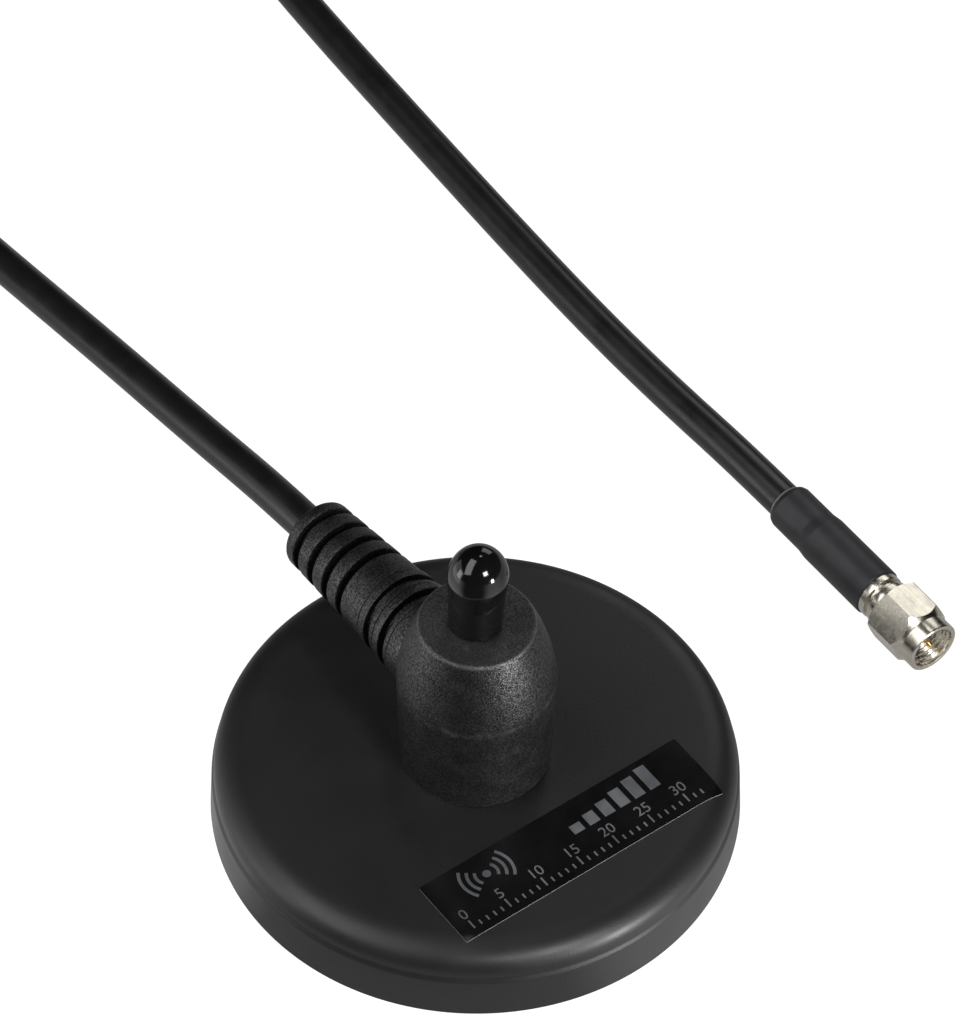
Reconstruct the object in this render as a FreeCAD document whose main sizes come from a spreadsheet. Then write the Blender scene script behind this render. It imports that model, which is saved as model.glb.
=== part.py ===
import FreeCAD, Part
import math
import os
import Sketcher

# Magnet-mount car antenna base with its coaxial lead and screw-on radio plug, in millimetres.
# +Z is up. The origin is the middle of the face that clings to the car roof.
# The strain relief and the lead leave the neck along +Y, and the label lies on the -Y side.

doc = FreeCAD.newDocument("MagnetAntennaBase")

# Driving sizes: name, value, what it is

SIZES = [
    ("clearance", 0.1, "gap between pieces that are moulded or pushed together"),
    ("running_gap", 0.05, "gap between a piece that turns or slides and what guides it"),
    ("cover_radius", 33.5, "outer radius of the cover at its foot"),
    ("cover_foot", 0.3, "height of the cover's foot above the roof"),
    ("cover_wall_lean", 0.35, "how far the lower wall leans in up to the ledge"),
    ("cover_ledge_drop", 3.8, "how far the ledge round the cover lies below its flat top"),
    ("cover_ledge_step", 0.25, "how far the wall steps in above the ledge"),
    ("cover_height", 10.6, "height of the flat top of the cover"),
    ("cover_shoulder", 3.1, "radius of the rounded shoulder"),
    ("cover_wall", 1.9, "thickness of the side wall at the foot"),
    ("cover_top_wall", 1.6, "thickness of the top of the cover"),
    ("pad_thick", 0.8, "thickness of the soft pad under the magnet"),
    ("yoke_plate", 2.0, "thickness of the steel yoke's plate"),
    ("yoke_rim", 1.8, "thickness of the steel yoke's rim"),
    ("yoke_boss_radius", 7.5, "radius of the boss round the fixing screw"),
    ("screw_head_gap", 0.8, "gap between the fixing screw's head and the pad"),
    ("magnet_bore", 10.0, "inner radius of the ring magnet"),
    ("spacer_thick", 0.8, "thickness of the ring that centres the magnet"),
    ("screw_radius", 2.0, "radius of the fixing screw's shank"),
    ("screw_reach", 4.8, "how far the screw enters the bush"),
    ("screw_head_radius", 3.8, "radius of the fixing screw's head"),
    ("screw_head_height", 2.2, "height of the fixing screw's head"),
    ("screw_socket", 1.5, "radius of the hexagon socket, over its corners"),
    ("screw_socket_depth", 1.2, "depth of the hexagon socket"),
    ("washer_radius", 4.4, "outer radius of the lock washer"),
    ("washer_thick", 0.8, "thickness of the lock washer"),
    ("neck_foot_radius", 9.5, "radius of the rubber neck where it stands on the cover"),
    ("neck_break_radius", 9.95, "radius of the neck where its shoulder starts"),
    ("neck_top_radius", 7.15, "radius of the flat top of the neck"),
    ("neck_rise", 12.35, "height of the neck's flat top above the relief's axis"),
    ("neck_shoulder_height", 9.7, "how far the neck's shoulder starts below its flat top"),
    ("neck_shoulder_curve", 24.0, "radius of the shoulder's outline"),
    ("bush_spigot_radius", 6.0, "radius of the bush where it passes the cover"),
    ("bush_flange_cover", 1.5, "thickness of rubber round the bush's flange"),
    ("bush_flange_thick", 1.6, "thickness of the bush's flange"),
    ("bush_barrel_radius", 6.2, "radius of the bush inside the neck"),
    ("bush_hold", 3.4, "how deep the insulator sits in the bush"),
    ("chamber_depth", 5.05, "depth of the bush's chamber below the relief's axis"),
    ("insulator_radius", 4.1, "radius of the insulator round the whip stud"),
    ("insulator_wall", 0.8, "thickness of the insulator round the stud's collar"),
    ("insulator_cover", 1.9, "thickness of rubber above the insulator"),
    ("stud_radius", 2.5, "radius of the whip stud's thread"),
    ("solder_gap", 0.15, "gap between the cable's inner conductor and the stud's foot"),
    ("stud_tail", 0.95, "how far the stud stands out below its insulator"),
    ("stud_length", 10.0, "length of thread that stands out of the neck"),
    ("stud_chamfer", 0.6, "chamfer at the end of the thread"),
    ("collar_thick", 2.0, "thickness of the collar that holds the stud in its insulator"),
    ("cap_foot_gap", 0.2, "gap between the cap's foot and the neck"),
    ("cap_foot_wall", 0.85, "thickness of the cap's wall at its foot"),
    ("cap_waist_swell", 0.09, "how far the cap's waist is wider than its foot"),
    ("cap_waist_height", 5.0, "height of that waist above the cap's foot"),
    ("cap_dome_swell", 0.35, "how far the cap's domed end is wider than its foot"),
    ("cap_dome_drop", 0.8, "how far the dome's centre lies below the stud's end"),
    ("cap_end_gap", 0.35, "gap between the stud's end and the inside of the cap"),
    ("relief_height", 23.05, "height at which the relief's axis crosses the neck's axis"),
    ("relief_droop", 6.5, "angle by which the relief hangs below level, in degrees"),
    ("relief_reach", 34.6, "distance from the neck's axis to the relief's end"),
    ("relief_tip_radius", 4.92, "radius of the relief at its end"),
    ("relief_rib_radius", 5.5, "radius of the relief at its last deep groove"),
    ("relief_rib_zone", 13.3, "length of the stretch with deep grooves"),
    ("relief_collar_radius", 5.6, "radius of the relief at the end of the plain collar"),
    ("relief_collar_length", 3.95, "length of the plain collar, up to the first step line"),
    ("relief_band_radius", 5.9, "radius of the relief at the second step line"),
    ("relief_band_length", 3.35, "distance from the first step line to the second"),
    ("relief_root_radius", 6.15, "radius of the relief at the third step line"),
    ("relief_root_length", 3.4, "distance from the second step line to the third"),
    ("relief_step", 0.2, "height of each step line"),
    ("relief_tip_round", 0.5, "rounding of the relief's end"),
    ("deep_groove_start", 1.85, "distance of the first deep groove from the end"),
    ("deep_groove_width", 1.2, "width of a deep groove"),
    ("deep_groove_pitch", 3.36, "distance from one deep groove to the next"),
    ("deep_groove_floor", 3.7, "radius at the floor of a deep groove"),
    ("fine_groove_start", 18.6, "distance of the first fine groove from the end"),
    ("fine_groove_width", 1.15, "width of a fine groove"),
    ("fine_groove_pitch", 3.36, "distance from one fine groove to the next"),
    ("fine_groove_floor", 5.1, "radius at the floor of a fine groove"),
    ("label_length", 39.5, "length of the label"),
    ("label_width", 10.0, "width of the label"),
    ("label_thick", 0.12, "thickness of the label"),
    ("label_shift", 1.1, "distance of the label's middle from the YZ plane"),
    ("label_distance", 18.6, "distance of the label's middle from the neck's axis"),
    ("wire_radius", 0.45, "radius of the cable's inner conductor"),
    ("dielectric_radius", 1.475, "radius of the cable's dielectric"),
    ("braid_wall", 0.325, "thickness of the cable's braid"),
    ("jacket_wall", 0.675, "thickness of the cable's jacket"),
    ("jacket_start", 5.0, "distance from the neck's axis to the end of the jacket"),
    ("braid_start", 3.9, "distance from the neck's axis to the end of the braid"),
    ("dielectric_start", 2.75, "distance from the neck's axis to the end of the dielectric"),
    ("wire_pass", 0.6, "how far the inner conductor passes the neck's axis"),
    ("lead_straight", 9.0, "straight length of the lead where it leaves the relief"),
    ("coil_run_in", 9.0, "straight length of the cable beside each stub of the coil"),
    ("floor_gap", 0.025, "gap between the lying cable and the roof"),
    ("coil_x", 29.0, "middle of the coil along X"),
    ("coil_y", 210.0, "middle of the coil along Y"),
    ("coil_radius", 28.0, "radius at the middle of the coil's turns"),
    ("coil_side_pitch", 5.25, "distance between turns side by side"),
    ("coil_layer_pitch", 5.1, "distance between turns one above the other"),
    ("coil_stub", 22.0, "length of the tangent stub where the lead enters the coil"),
    ("tie_width", 4.0, "width of the strap round the coil"),
    ("tie_thick", 0.9, "thickness of the strap round the coil"),
    ("tie_gap", 0.25, "gap between the strap and the coil"),
    ("tail_braid_wall", 0.4, "thickness of the braid over the plug body's stem"),
    ("plug_x", 59.9, "place of the plug's axis along X"),
    ("plug_y", 12.25, "place of the plug's rear end along Y"),
    ("plug_height", 4.65, "height of the plug's axis"),
    ("shrink_rear_wall", 0.725, "thickness of the heat-shrink sleeve over the cable"),
    ("shrink_length", 18.6, "length of the heat-shrink sleeve"),
    ("shrink_wall", 0.5, "thickness of the sleeve over the ferrule"),
    ("ferrule_wall", 0.375, "thickness of the crimp ferrule"),
    ("ferrule_start", 7.2, "distance of the crimp ferrule from the sleeve's rear end"),
    ("cable_entry", 9.5, "how far the cable enters the sleeve"),
    ("stem_wall", 0.425, "thickness of the plug body's stem, under the braid"),
    ("stem_gap", 0.7, "distance from the end of the cable's jacket to the stem"),
    ("body_ring_radius", 3.25, "outer radius of the two rings on the plug body"),
    ("body_ring_width", 1.1, "width of each ring"),
    ("body_groove_width", 0.7, "width of the groove between the rings"),
    ("body_groove_radius", 2.8, "radius at the floor of that groove"),
    ("front_step", 0.3, "how far the plug body steps in at its front sleeve"),
    ("front_wall", 0.225, "thickness of that front sleeve"),
    ("front_length", 4.15, "length of that front sleeve, up to the mating face"),
    ("clip_groove_depth", 0.3, "depth of the clip's groove in the plug body"),
    ("clip_width", 0.5, "thickness of the clip that holds the nut"),
    ("clip_gap", 0.12, "gap between that clip and the nut's thread"),
    ("gasket_width", 0.8, "thickness of the gasket"),
    ("insulation_inset", 0.7, "distance of the plug's insulator from the rear of the first ring"),
    ("tail_dielectric_length", 2.8, "length of dielectric between the jacket and the pin"),
    ("pin_radius", 0.465, "radius of the plug's contact pin"),
    ("pin_root_radius", 0.64, "radius of the pin inside its insulator"),
    ("pin_reach", 2.4, "how far the pin stands out of the mating face"),
    ("nut_flats", 8.0, "width of the nut across its flats"),
    ("nut_gap", 0.2, "gap between the nut and the ring behind it"),
    ("nut_hex_length", 6.1, "length of the hexagon"),
    ("nut_length", 8.4, "length of the nut"),
    ("nut_chamfer", 0.5, "height of the chamfer on the hexagon's corners"),
    ("nut_barrel_radius", 3.7, "outer radius of the round front of the nut"),
    ("nut_thread_radius", 3.0, "radius of the nut's threaded bore"),
    ("nut_mouth_chamfer", 0.25, "chamfer at the mouth of the thread"),
    ("nut_lip", 0.7, "thickness of the lip that the clip holds"),
    ("nut_lip_height", 0.35, "how far that lip reaches inwards from the thread"),
    ("nut_turn", -8.4, "angle by which a flat of the nut is turned from the roof, in degrees"),
]

sheet = doc.addObject("Spreadsheet::Sheet", "Sizes")
values = {}
for row, (alias, value, meaning) in enumerate(SIZES, start=1):
    sheet.set("A%d" % row, meaning)
    sheet.set("B%d" % row, str(value))
    sheet.setAlias("B%d" % row, alias)
    values[alias] = float(value)
doc.recompute()


class Size:
    """A length or an angle: its number, and the formula that ties a feature to the sheet."""

    def __init__(self, number, formula):
        self.number = number
        self.formula = formula

    def joined(self, sign, other, number):
        text = other.formula if isinstance(other, Size) else repr(other)
        return Size(number, "(%s %s %s)" % (self.formula, sign, text))

    def __add__(self, other):
        return self.joined("+", other, self.number + plain(other))

    def __sub__(self, other):
        return self.joined("-", other, self.number - plain(other))

    def __mul__(self, other):
        return self.joined("*", other, self.number * plain(other))

    def __truediv__(self, other):
        return self.joined("/", other, self.number / plain(other))

    def __neg__(self):
        return Size(-self.number, "(0 - %s)" % self.formula)


def plain(value):
    """The number in a size, or a number as it is."""
    return value.number if isinstance(value, Size) else float(value)


def size(alias):
    """A driving size of the sheet."""
    return Size(values[alias], "Sizes." + alias)


def bind(feature, path, value):
    """Ties a property or a constraint of a feature to a size."""
    if isinstance(value, Size):
        feature.setExpression(path, value.formula)


# Small steps that every turned, moulded or padded piece is made of

def new_body(name):
    """An empty body whose label is the piece's name."""
    body = doc.addObject("PartDesign::Body", name)
    body.Label = name
    return body


def origin_plane(body, role):
    """One of the body's own origin planes, such as XZ_Plane."""
    found = [part for part in body.Origin.OriginFeatures if part.Role == role]
    return found[0]


def new_sketch(body, role, name):
    """A sketch on one of the body's origin planes."""
    sketch = body.newObject("Sketcher::SketchObject", name)
    sketch.AttachmentSupport = [(origin_plane(body, role), "")]
    sketch.MapMode = "FlatFace"
    return sketch


def lean(sketch):
    """Moves a sketch on the YZ plane so that its X axis lies along the drooping relief."""
    sketch.AttachmentOffset = FreeCAD.Placement(
        FreeCAD.Vector(0, values["relief_height"], 0),
        FreeCAD.Rotation(FreeCAD.Vector(0, 0, 1), -values["relief_droop"]),
    )
    bind(sketch, "AttachmentOffset.Base.y", size("relief_height"))
    bind(sketch, "AttachmentOffset.Rotation.Angle", -size("relief_droop"))


def bulged(start, end, radius):
    """An arc from start to end that bulges to the right of the way from one to the other."""
    half = (end - start) * 0.5
    rise = math.sqrt(max(radius * radius - half.Length * half.Length, 0.0))
    left = FreeCAD.Vector(-half.y, half.x, 0).normalize()
    centre = start + half + left * rise
    circle = Part.Circle(centre, FreeCAD.Vector(0, 0, 1), radius)
    first = math.atan2(start.y - centre.y, start.x - centre.x)
    last = math.atan2(end.y - centre.y, end.x - centre.x)
    return Part.ArcOfCircle(circle, first, last)


def draw(sketch, corners, arcs=None):
    """A closed outline, counter-clockwise. arcs gives the radius of each side that is an arc."""
    arcs = arcs or {}
    points = [FreeCAD.Vector(plain(across), plain(up), 0) for across, up in corners]
    first = sketch.GeometryCount
    for side, start in enumerate(points):
        end = points[(side + 1) % len(points)]
        if side in arcs:
            sketch.addGeometry(bulged(start, end, plain(arcs[side])), False)
        else:
            sketch.addGeometry(Part.LineSegment(start, end), False)
    for side, (across, up) in enumerate(corners):
        here = first + side
        following = first + (side + 1) % len(corners)
        sketch.addConstraint(Sketcher.Constraint("Coincident", here, 2, following, 1))
        index = sketch.addConstraint(Sketcher.Constraint("DistanceX", -1, 1, here, 1, plain(across)))
        bind(sketch, "Constraints[%d]" % index, across)
        index = sketch.addConstraint(Sketcher.Constraint("DistanceY", -1, 1, here, 1, plain(up)))
        bind(sketch, "Constraints[%d]" % index, up)
        if side in arcs:
            index = sketch.addConstraint(Sketcher.Constraint("Radius", here, plain(arcs[side])))
            bind(sketch, "Constraints[%d]" % index, arcs[side])


def draw_circle(sketch, across, up, radius):
    """A circle at a place in the sketch."""
    centre = FreeCAD.Vector(plain(across), plain(up), 0)
    here = sketch.addGeometry(Part.Circle(centre, FreeCAD.Vector(0, 0, 1), plain(radius)), False)
    index = sketch.addConstraint(Sketcher.Constraint("DistanceX", -1, 1, here, 3, plain(across)))
    bind(sketch, "Constraints[%d]" % index, across)
    index = sketch.addConstraint(Sketcher.Constraint("DistanceY", -1, 1, here, 3, plain(up)))
    bind(sketch, "Constraints[%d]" % index, up)
    index = sketch.addConstraint(Sketcher.Constraint("Radius", here, plain(radius)))
    bind(sketch, "Constraints[%d]" % index, radius)


def rectangle(low, high, bottom, top):
    """The four corners of a rectangle, counter-clockwise."""
    return [(low, bottom), (high, bottom), (high, top), (low, top)]


def revolve(body, sketch, kind="PartDesign::Revolution", axis="V_Axis", angle=360):
    """Turns a sketch about one of its own axes, as a solid or as a cut."""
    turned = body.newObject(kind, sketch.Name + "Turn")
    turned.Profile = sketch
    turned.ReferenceAxis = (sketch, [axis])
    turned.Angle = angle
    doc.recompute()
    return turned


def cut_round(body, sketch, axis="V_Axis"):
    """Turns a sketch about one of its own axes as a cut, and checks that it cuts something."""
    before = body.Shape.Volume
    groove = revolve(body, sketch, "PartDesign::Groove", axis)
    if body.Shape.Volume > before - 0.001:
        raise RuntimeError(sketch.Name + " cuts nothing")
    return groove


def extrude(body, sketch, length, kind="PartDesign::Pad", backwards=False, both_ways=False):
    """Pushes a sketch out to a length, as a solid or as a cut."""
    pushed = body.newObject(kind, sketch.Name + "Push")
    pushed.Profile = sketch
    pushed.Length = plain(length)
    bind(pushed, "Length", length)
    pushed.Reversed = backwards
    pushed.Midplane = both_ways
    doc.recompute()
    return pushed


def turned_piece(name, corners, arcs=None):
    """A piece turned about its own Z axis from half of its section, drawn as radius and height."""
    body = new_body(name)
    sketch = new_sketch(body, "XZ_Plane", name + "_section")
    draw(sketch, corners, arcs)
    revolve(body, sketch)
    return body


def circle_edges(shape, radius, height):
    """Names of the level circular edges of that radius at that height."""
    names = []
    for number, edge in enumerate(shape.Edges, start=1):
        if not isinstance(edge.Curve, Part.Circle):
            continue
        if abs(edge.Curve.Radius - radius) > 0.01:
            continue
        if abs(edge.Curve.Center.z - height) < 0.01:
            names.append("Edge%d" % number)
    return names


# Heights and radii that several pieces share

clearance = size("clearance")
running_gap = size("running_gap")
inner_radius = size("cover_radius") - size("cover_wall") - clearance
cover_underside = size("cover_height") - size("cover_top_wall")
yoke_top = cover_underside - clearance
yoke_underside = yoke_top - size("yoke_plate")
screw_seat = size("pad_thick") + size("screw_head_gap") + size("screw_head_height")
boss_foot = screw_seat + size("washer_thick")
flange_radius = size("neck_foot_radius") - size("bush_flange_cover")
flange_top = size("cover_height") + size("bush_flange_thick")
neck_top = size("relief_height") + size("neck_rise")
stud_foot = size("relief_height") + size("wire_radius") + size("solder_gap")
stud_top = neck_top + size("stud_length")
insulator_foot = stud_foot + size("stud_tail")
insulator_top = neck_top - size("insulator_cover")
bush_top = insulator_foot + size("bush_hold")
collar_radius = size("insulator_radius") - size("insulator_wall")
collar_foot = (insulator_foot + insulator_top - size("collar_thick")) / 2
collar_top = collar_foot + size("collar_thick")
braid_radius = size("dielectric_radius") + size("braid_wall")
cable_radius = braid_radius + size("jacket_wall")
cable_bore = cable_radius + clearance


# Base: the cover that is seen, and the magnet, its steel yoke and the pad under it

def base_cover():
    wall_top = size("cover_height")
    ledge = wall_top - size("cover_ledge_drop")
    ledge_radius = size("cover_radius") - size("cover_wall_lean")
    rim_radius = ledge_radius - size("cover_ledge_step")
    body = turned_piece("base_cover", [
        (size("bush_spigot_radius") + clearance, cover_underside),
        (size("cover_radius") - size("cover_wall"), cover_underside),
        (size("cover_radius") - size("cover_wall"), size("cover_foot")),
        (size("cover_radius"), size("cover_foot")),
        (ledge_radius, ledge),
        (rim_radius, ledge),
        (rim_radius, wall_top),
        (size("bush_spigot_radius") + clearance, wall_top),
    ])
    turned = body.Tip
    edges = circle_edges(turned.Shape, plain(rim_radius), plain(wall_top))
    shoulder = body.newObject("PartDesign::Fillet", "cover_shoulder")
    shoulder.Base = (turned, edges)
    shoulder.Radius = values["cover_shoulder"]
    bind(shoulder, "Radius", size("cover_shoulder"))
    doc.recompute()


def bottom_pad():
    turned_piece("bottom_pad", rectangle(0, inner_radius, 0, size("pad_thick")))


def yoke_cup():
    hole = size("screw_radius") + clearance
    turned_piece("yoke_cup", [
        (hole, boss_foot),
        (size("yoke_boss_radius"), boss_foot),
        (size("yoke_boss_radius"), yoke_underside),
        (inner_radius - size("yoke_rim"), yoke_underside),
        (inner_radius - size("yoke_rim"), size("pad_thick")),
        (inner_radius, size("pad_thick")),
        (inner_radius, yoke_top),
        (hole, yoke_top),
    ])


def ring_magnet():
    outside = inner_radius - size("yoke_rim") - size("spacer_thick") - clearance * 2
    turned_piece("ring_magnet", rectangle(
        size("magnet_bore"), outside, size("pad_thick"), yoke_underside - clearance))


def magnet_spacer():
    outside = inner_radius - size("yoke_rim") - clearance
    turned_piece("magnet_spacer", rectangle(
        outside - size("spacer_thick"), outside, size("pad_thick"), yoke_underside - clearance))


def lock_washer():
    turned_piece("lock_washer", rectangle(
        size("screw_radius") + clearance, size("washer_radius"), screw_seat, boss_foot))


def hexagon(corner_radius):
    """The corners of a hexagon with a corner on the sketch's X axis."""
    half = corner_radius / 2
    side = corner_radius * (math.sqrt(3) / 2)
    return [(corner_radius, 0), (half, side), (-half, side),
            (-corner_radius, 0), (-half, -side), (half, -side)]


def fixing_screw():
    head = screw_seat - size("screw_head_height")
    body = turned_piece("fixing_screw", [
        (0, head),
        (size("screw_head_radius"), head),
        (size("screw_head_radius"), screw_seat),
        (size("screw_radius"), screw_seat),
        (size("screw_radius"), yoke_top + size("screw_reach")),
        (0, yoke_top + size("screw_reach")),
    ])
    sketch = new_sketch(body, "XY_Plane", "screw_socket")
    draw(sketch, hexagon(size("screw_socket")))
    extrude(body, sketch, head + size("screw_socket_depth"), "PartDesign::Pocket", backwards=True)


# Neck: the rubber moulding with its ribbed strain relief, and what is moulded into it

def neck_boot():
    body = turned_piece("neck_boot", [
        (0, size("cover_height")),
        (size("neck_foot_radius"), size("cover_height")),
        (size("neck_break_radius"), neck_top - size("neck_shoulder_height")),
        (size("neck_top_radius"), neck_top),
        (0, neck_top),
    ], {2: size("neck_shoulder_curve")})
    relief_solid(body)
    relief_grooves(body)
    cavity = new_sketch(body, "XZ_Plane", "neck_cavity")
    draw(cavity, [
        (0, 0),
        (flange_radius + clearance, 0),
        (flange_radius + clearance, flange_top + clearance),
        (size("bush_barrel_radius") + clearance, flange_top + clearance),
        (size("bush_barrel_radius") + clearance, bush_top + clearance),
        (size("insulator_radius") + clearance, bush_top + clearance),
        (size("insulator_radius") + clearance, insulator_top + clearance),
        (size("stud_radius") + clearance, insulator_top + clearance),
        (size("stud_radius") + clearance, stud_top),
        (0, stud_top),
    ])
    cut_round(body, cavity)
    passage = new_sketch(body, "YZ_Plane", "neck_cable_passage")
    lean(passage)
    draw(passage, rectangle(0, size("relief_reach") + 1, 0, cable_bore))
    cut_round(body, passage, "H_Axis")


def from_tip(distance):
    """A place along the relief's axis, given from its outer end."""
    return size("relief_reach") - distance


def relief_solid(body):
    """The tapered relief with its fine step lines, added to the neck."""
    step = size("relief_step")
    first_line = size("relief_rib_zone") + size("relief_collar_length")
    second_line = first_line + size("relief_band_length")
    third_line = second_line + size("relief_root_length")
    sketch = new_sketch(body, "YZ_Plane", "relief_section")
    lean(sketch)
    draw(sketch, [
        (size("bush_barrel_radius"), 0),
        (from_tip(0), 0),
        (from_tip(0), size("relief_tip_radius") - size("relief_tip_round")),
        (from_tip(size("relief_tip_round")), size("relief_tip_radius")),
        (from_tip(size("relief_rib_zone")), size("relief_rib_radius")),
        (from_tip(first_line), size("relief_collar_radius")),
        (from_tip(first_line), size("relief_collar_radius") + step),
        (from_tip(second_line), size("relief_band_radius")),
        (from_tip(second_line), size("relief_band_radius") + step),
        (from_tip(third_line), size("relief_root_radius")),
        (from_tip(third_line), size("relief_root_radius") + step),
        (size("bush_barrel_radius"), size("relief_root_radius") + step),
    ], {2: size("relief_tip_round")})
    revolve(body, sketch, axis="H_Axis")


def relief_grooves(body):
    """Four deep grooves near the relief's end and two fine ones near the neck."""
    rows = (("deep", 4, size("relief_rib_radius")), ("fine", 2, size("relief_root_radius")))
    for kind, count, rim in rows:
        start = size(kind + "_groove_start")
        sketch = new_sketch(body, "YZ_Plane", kind + "_groove")
        lean(sketch)
        draw(sketch, rectangle(
            from_tip(start + size(kind + "_groove_width")), from_tip(start),
            size(kind + "_groove_floor"), rim + size("relief_step") * 2))
        groove = cut_round(body, sketch, "H_Axis")
        row = body.newObject("PartDesign::LinearPattern", kind + "_groove_row")
        row.Originals = [groove]
        row.Direction = (sketch, ["H_Axis"])
        row.Reversed = True
        row.Length = values[kind + "_groove_pitch"] * (count - 1)
        bind(row, "Length", size(kind + "_groove_pitch") * (count - 1))
        row.Occurrences = count
        body.Tip = row
        doc.recompute()


def mast_bush():
    chamber_floor = size("relief_height") - size("chamber_depth")
    body = turned_piece("mast_bush", [
        (size("screw_radius") + clearance, yoke_top),
        (size("bush_spigot_radius"), yoke_top),
        (size("bush_spigot_radius"), size("cover_height")),
        (flange_radius, size("cover_height")),
        (flange_radius, flange_top),
        (size("bush_barrel_radius"), flange_top),
        (size("bush_barrel_radius"), bush_top),
        (size("insulator_radius") + clearance, bush_top),
        (size("insulator_radius") + clearance, chamber_floor),
        (size("screw_radius") + clearance, chamber_floor),
    ])
    passage = new_sketch(body, "YZ_Plane", "bush_cable_passage")
    lean(passage)
    draw(passage, rectangle(0, size("bush_barrel_radius") * 2, 0, cable_bore))
    cut_round(body, passage, "H_Axis")


def stud_insulator():
    bore = size("stud_radius") + clearance
    pocket = collar_radius + clearance
    turned_piece("stud_insulator", [
        (bore, insulator_foot),
        (size("insulator_radius"), insulator_foot),
        (size("insulator_radius"), insulator_top),
        (bore, insulator_top),
        (bore, collar_top + clearance),
        (pocket, collar_top + clearance),
        (pocket, collar_foot - clearance),
        (bore, collar_foot - clearance),
    ])


def whip_stud():
    chamfer = size("stud_chamfer")
    turned_piece("whip_stud", [
        (0, stud_foot),
        (size("stud_radius"), stud_foot),
        (size("stud_radius"), collar_foot),
        (collar_radius, collar_foot),
        (collar_radius, collar_top),
        (size("stud_radius"), collar_top),
        (size("stud_radius"), stud_top - chamfer),
        (size("stud_radius") - chamfer, stud_top),
        (0, stud_top),
    ])


def stud_cap():
    foot = neck_top + size("cap_foot_gap")
    dome = stud_top - size("cap_dome_drop")
    bore = size("stud_radius") + running_gap
    foot_radius = bore + size("cap_foot_wall")
    dome_radius = foot_radius + size("cap_dome_swell")
    ceiling = stud_top + size("cap_end_gap")
    turned_piece("stud_cap", [
        (bore, foot),
        (foot_radius, foot),
        (foot_radius + size("cap_waist_swell"), foot + size("cap_waist_height")),
        (dome_radius, dome),
        (0, dome + dome_radius),
        (0, ceiling),
        (bore, ceiling),
    ], {3: dome_radius})


def along_relief(name, start, end, radius):
    """A round length of the cable inside the neck, on the relief's axis."""
    body = new_body(name)
    sketch = new_sketch(body, "YZ_Plane", name + "_section")
    lean(sketch)
    draw(sketch, rectangle(start, end, 0, radius))
    revolve(body, sketch, axis="H_Axis")


def cable_end_pieces():
    """The stripped end of the cable: jacket, braid, dielectric and inner conductor."""
    along_relief("lead_jacket", size("jacket_start"), size("relief_reach"), cable_radius)
    along_relief("feed_braid", size("braid_start"), size("jacket_start"), braid_radius)
    along_relief("feed_dielectric", size("dielectric_start"), size("braid_start"),
                 size("dielectric_radius"))
    along_relief("feed_wire", -size("wire_pass"), size("dielectric_start"), size("wire_radius"))


def label_plate():
    plate = doc.addObject("Part::Box", "label_plate")
    plate.Label = "label_plate"
    bind(plate, "Length", size("label_length"))
    bind(plate, "Width", size("label_width"))
    bind(plate, "Height", size("label_thick"))
    bind(plate, "Placement.Base.x", size("label_shift") - size("label_length") / 2)
    bind(plate, "Placement.Base.y", -size("label_distance") - size("label_width") / 2)
    bind(plate, "Placement.Base.z", size("cover_height"))


# Lead: a tube from the relief to the coil, the coil, and a tube from the coil to the plug

def route_path(name, points):
    """Straight runs joined by tangent arcs, as large as the two runs beside each bend allow."""
    points = [FreeCAD.Vector(*point) for point in points]
    edges = []
    radii = []
    start = points[0]
    for before, corner, after in zip(points, points[1:], points[2:]):
        way_in = corner - before
        way_out = after - corner
        turn = way_in.getAngle(way_out)
        reach = 0.45 * min(way_in.Length, way_out.Length)
        radii.append(reach / math.tan(turn / 2))
        way_in = way_in.normalize()
        way_out = way_out.normalize()
        arc_start = corner - way_in * reach
        arc_end = corner + way_out * reach
        inward = (way_out - way_in).normalize()
        depth = radii[-1] * (1 / math.cos(turn / 2) - 1)
        arc = Part.Arc(arc_start, corner + inward * depth, arc_end)
        edges.append(Part.LineSegment(start, arc_start).toShape())
        edges.append(arc.toShape())
        start = arc_end
    edges.append(Part.LineSegment(start, points[-1]).toShape())
    path = Part.Wire(edges)
    print(name, "length", round(path.Length, 1), "smallest radius", round(min(radii), 1))
    return path


def cable_tube(name, points):
    """A solid round tube along the route, checked against its section times its length."""
    path = route_path(name, points)
    radius = plain(cable_radius)
    direction = FreeCAD.Vector(*points[1]) - FreeCAD.Vector(*points[0])
    section = Part.Wire(Part.Circle(FreeCAD.Vector(*points[0]), direction, radius).toShape())
    shape = path.makePipeShell([section], True, False)
    expected = math.pi * radius * radius * path.Length
    if abs(shape.Volume - expected) > 0.01 * expected:
        raise RuntimeError(name + " has a volume that doesn't match its length")
    tube = doc.addObject("Part::Feature", name)
    tube.Label = name
    tube.Shape = shape
    return tube


lying = cable_radius + size("floor_gap")
coil_foot = size("tie_thick") + size("tie_gap")
coil_inner_turn = size("coil_radius") - size("coil_side_pitch") * 1.5
coil_outer_turn = size("coil_radius") + size("coil_side_pitch") * 1.5
coil_last_turn = coil_outer_turn + size("coil_side_pitch")
coil_height = size("coil_layer_pitch") * 3 + cable_radius * 2


entry_x = plain(size("coil_x") - coil_outer_turn)
leave_x = plain(size("coil_x") + coil_last_turn)
stub_y = plain(size("coil_y") - size("coil_stub"))
coil_level = plain(coil_foot + cable_radius)


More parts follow.
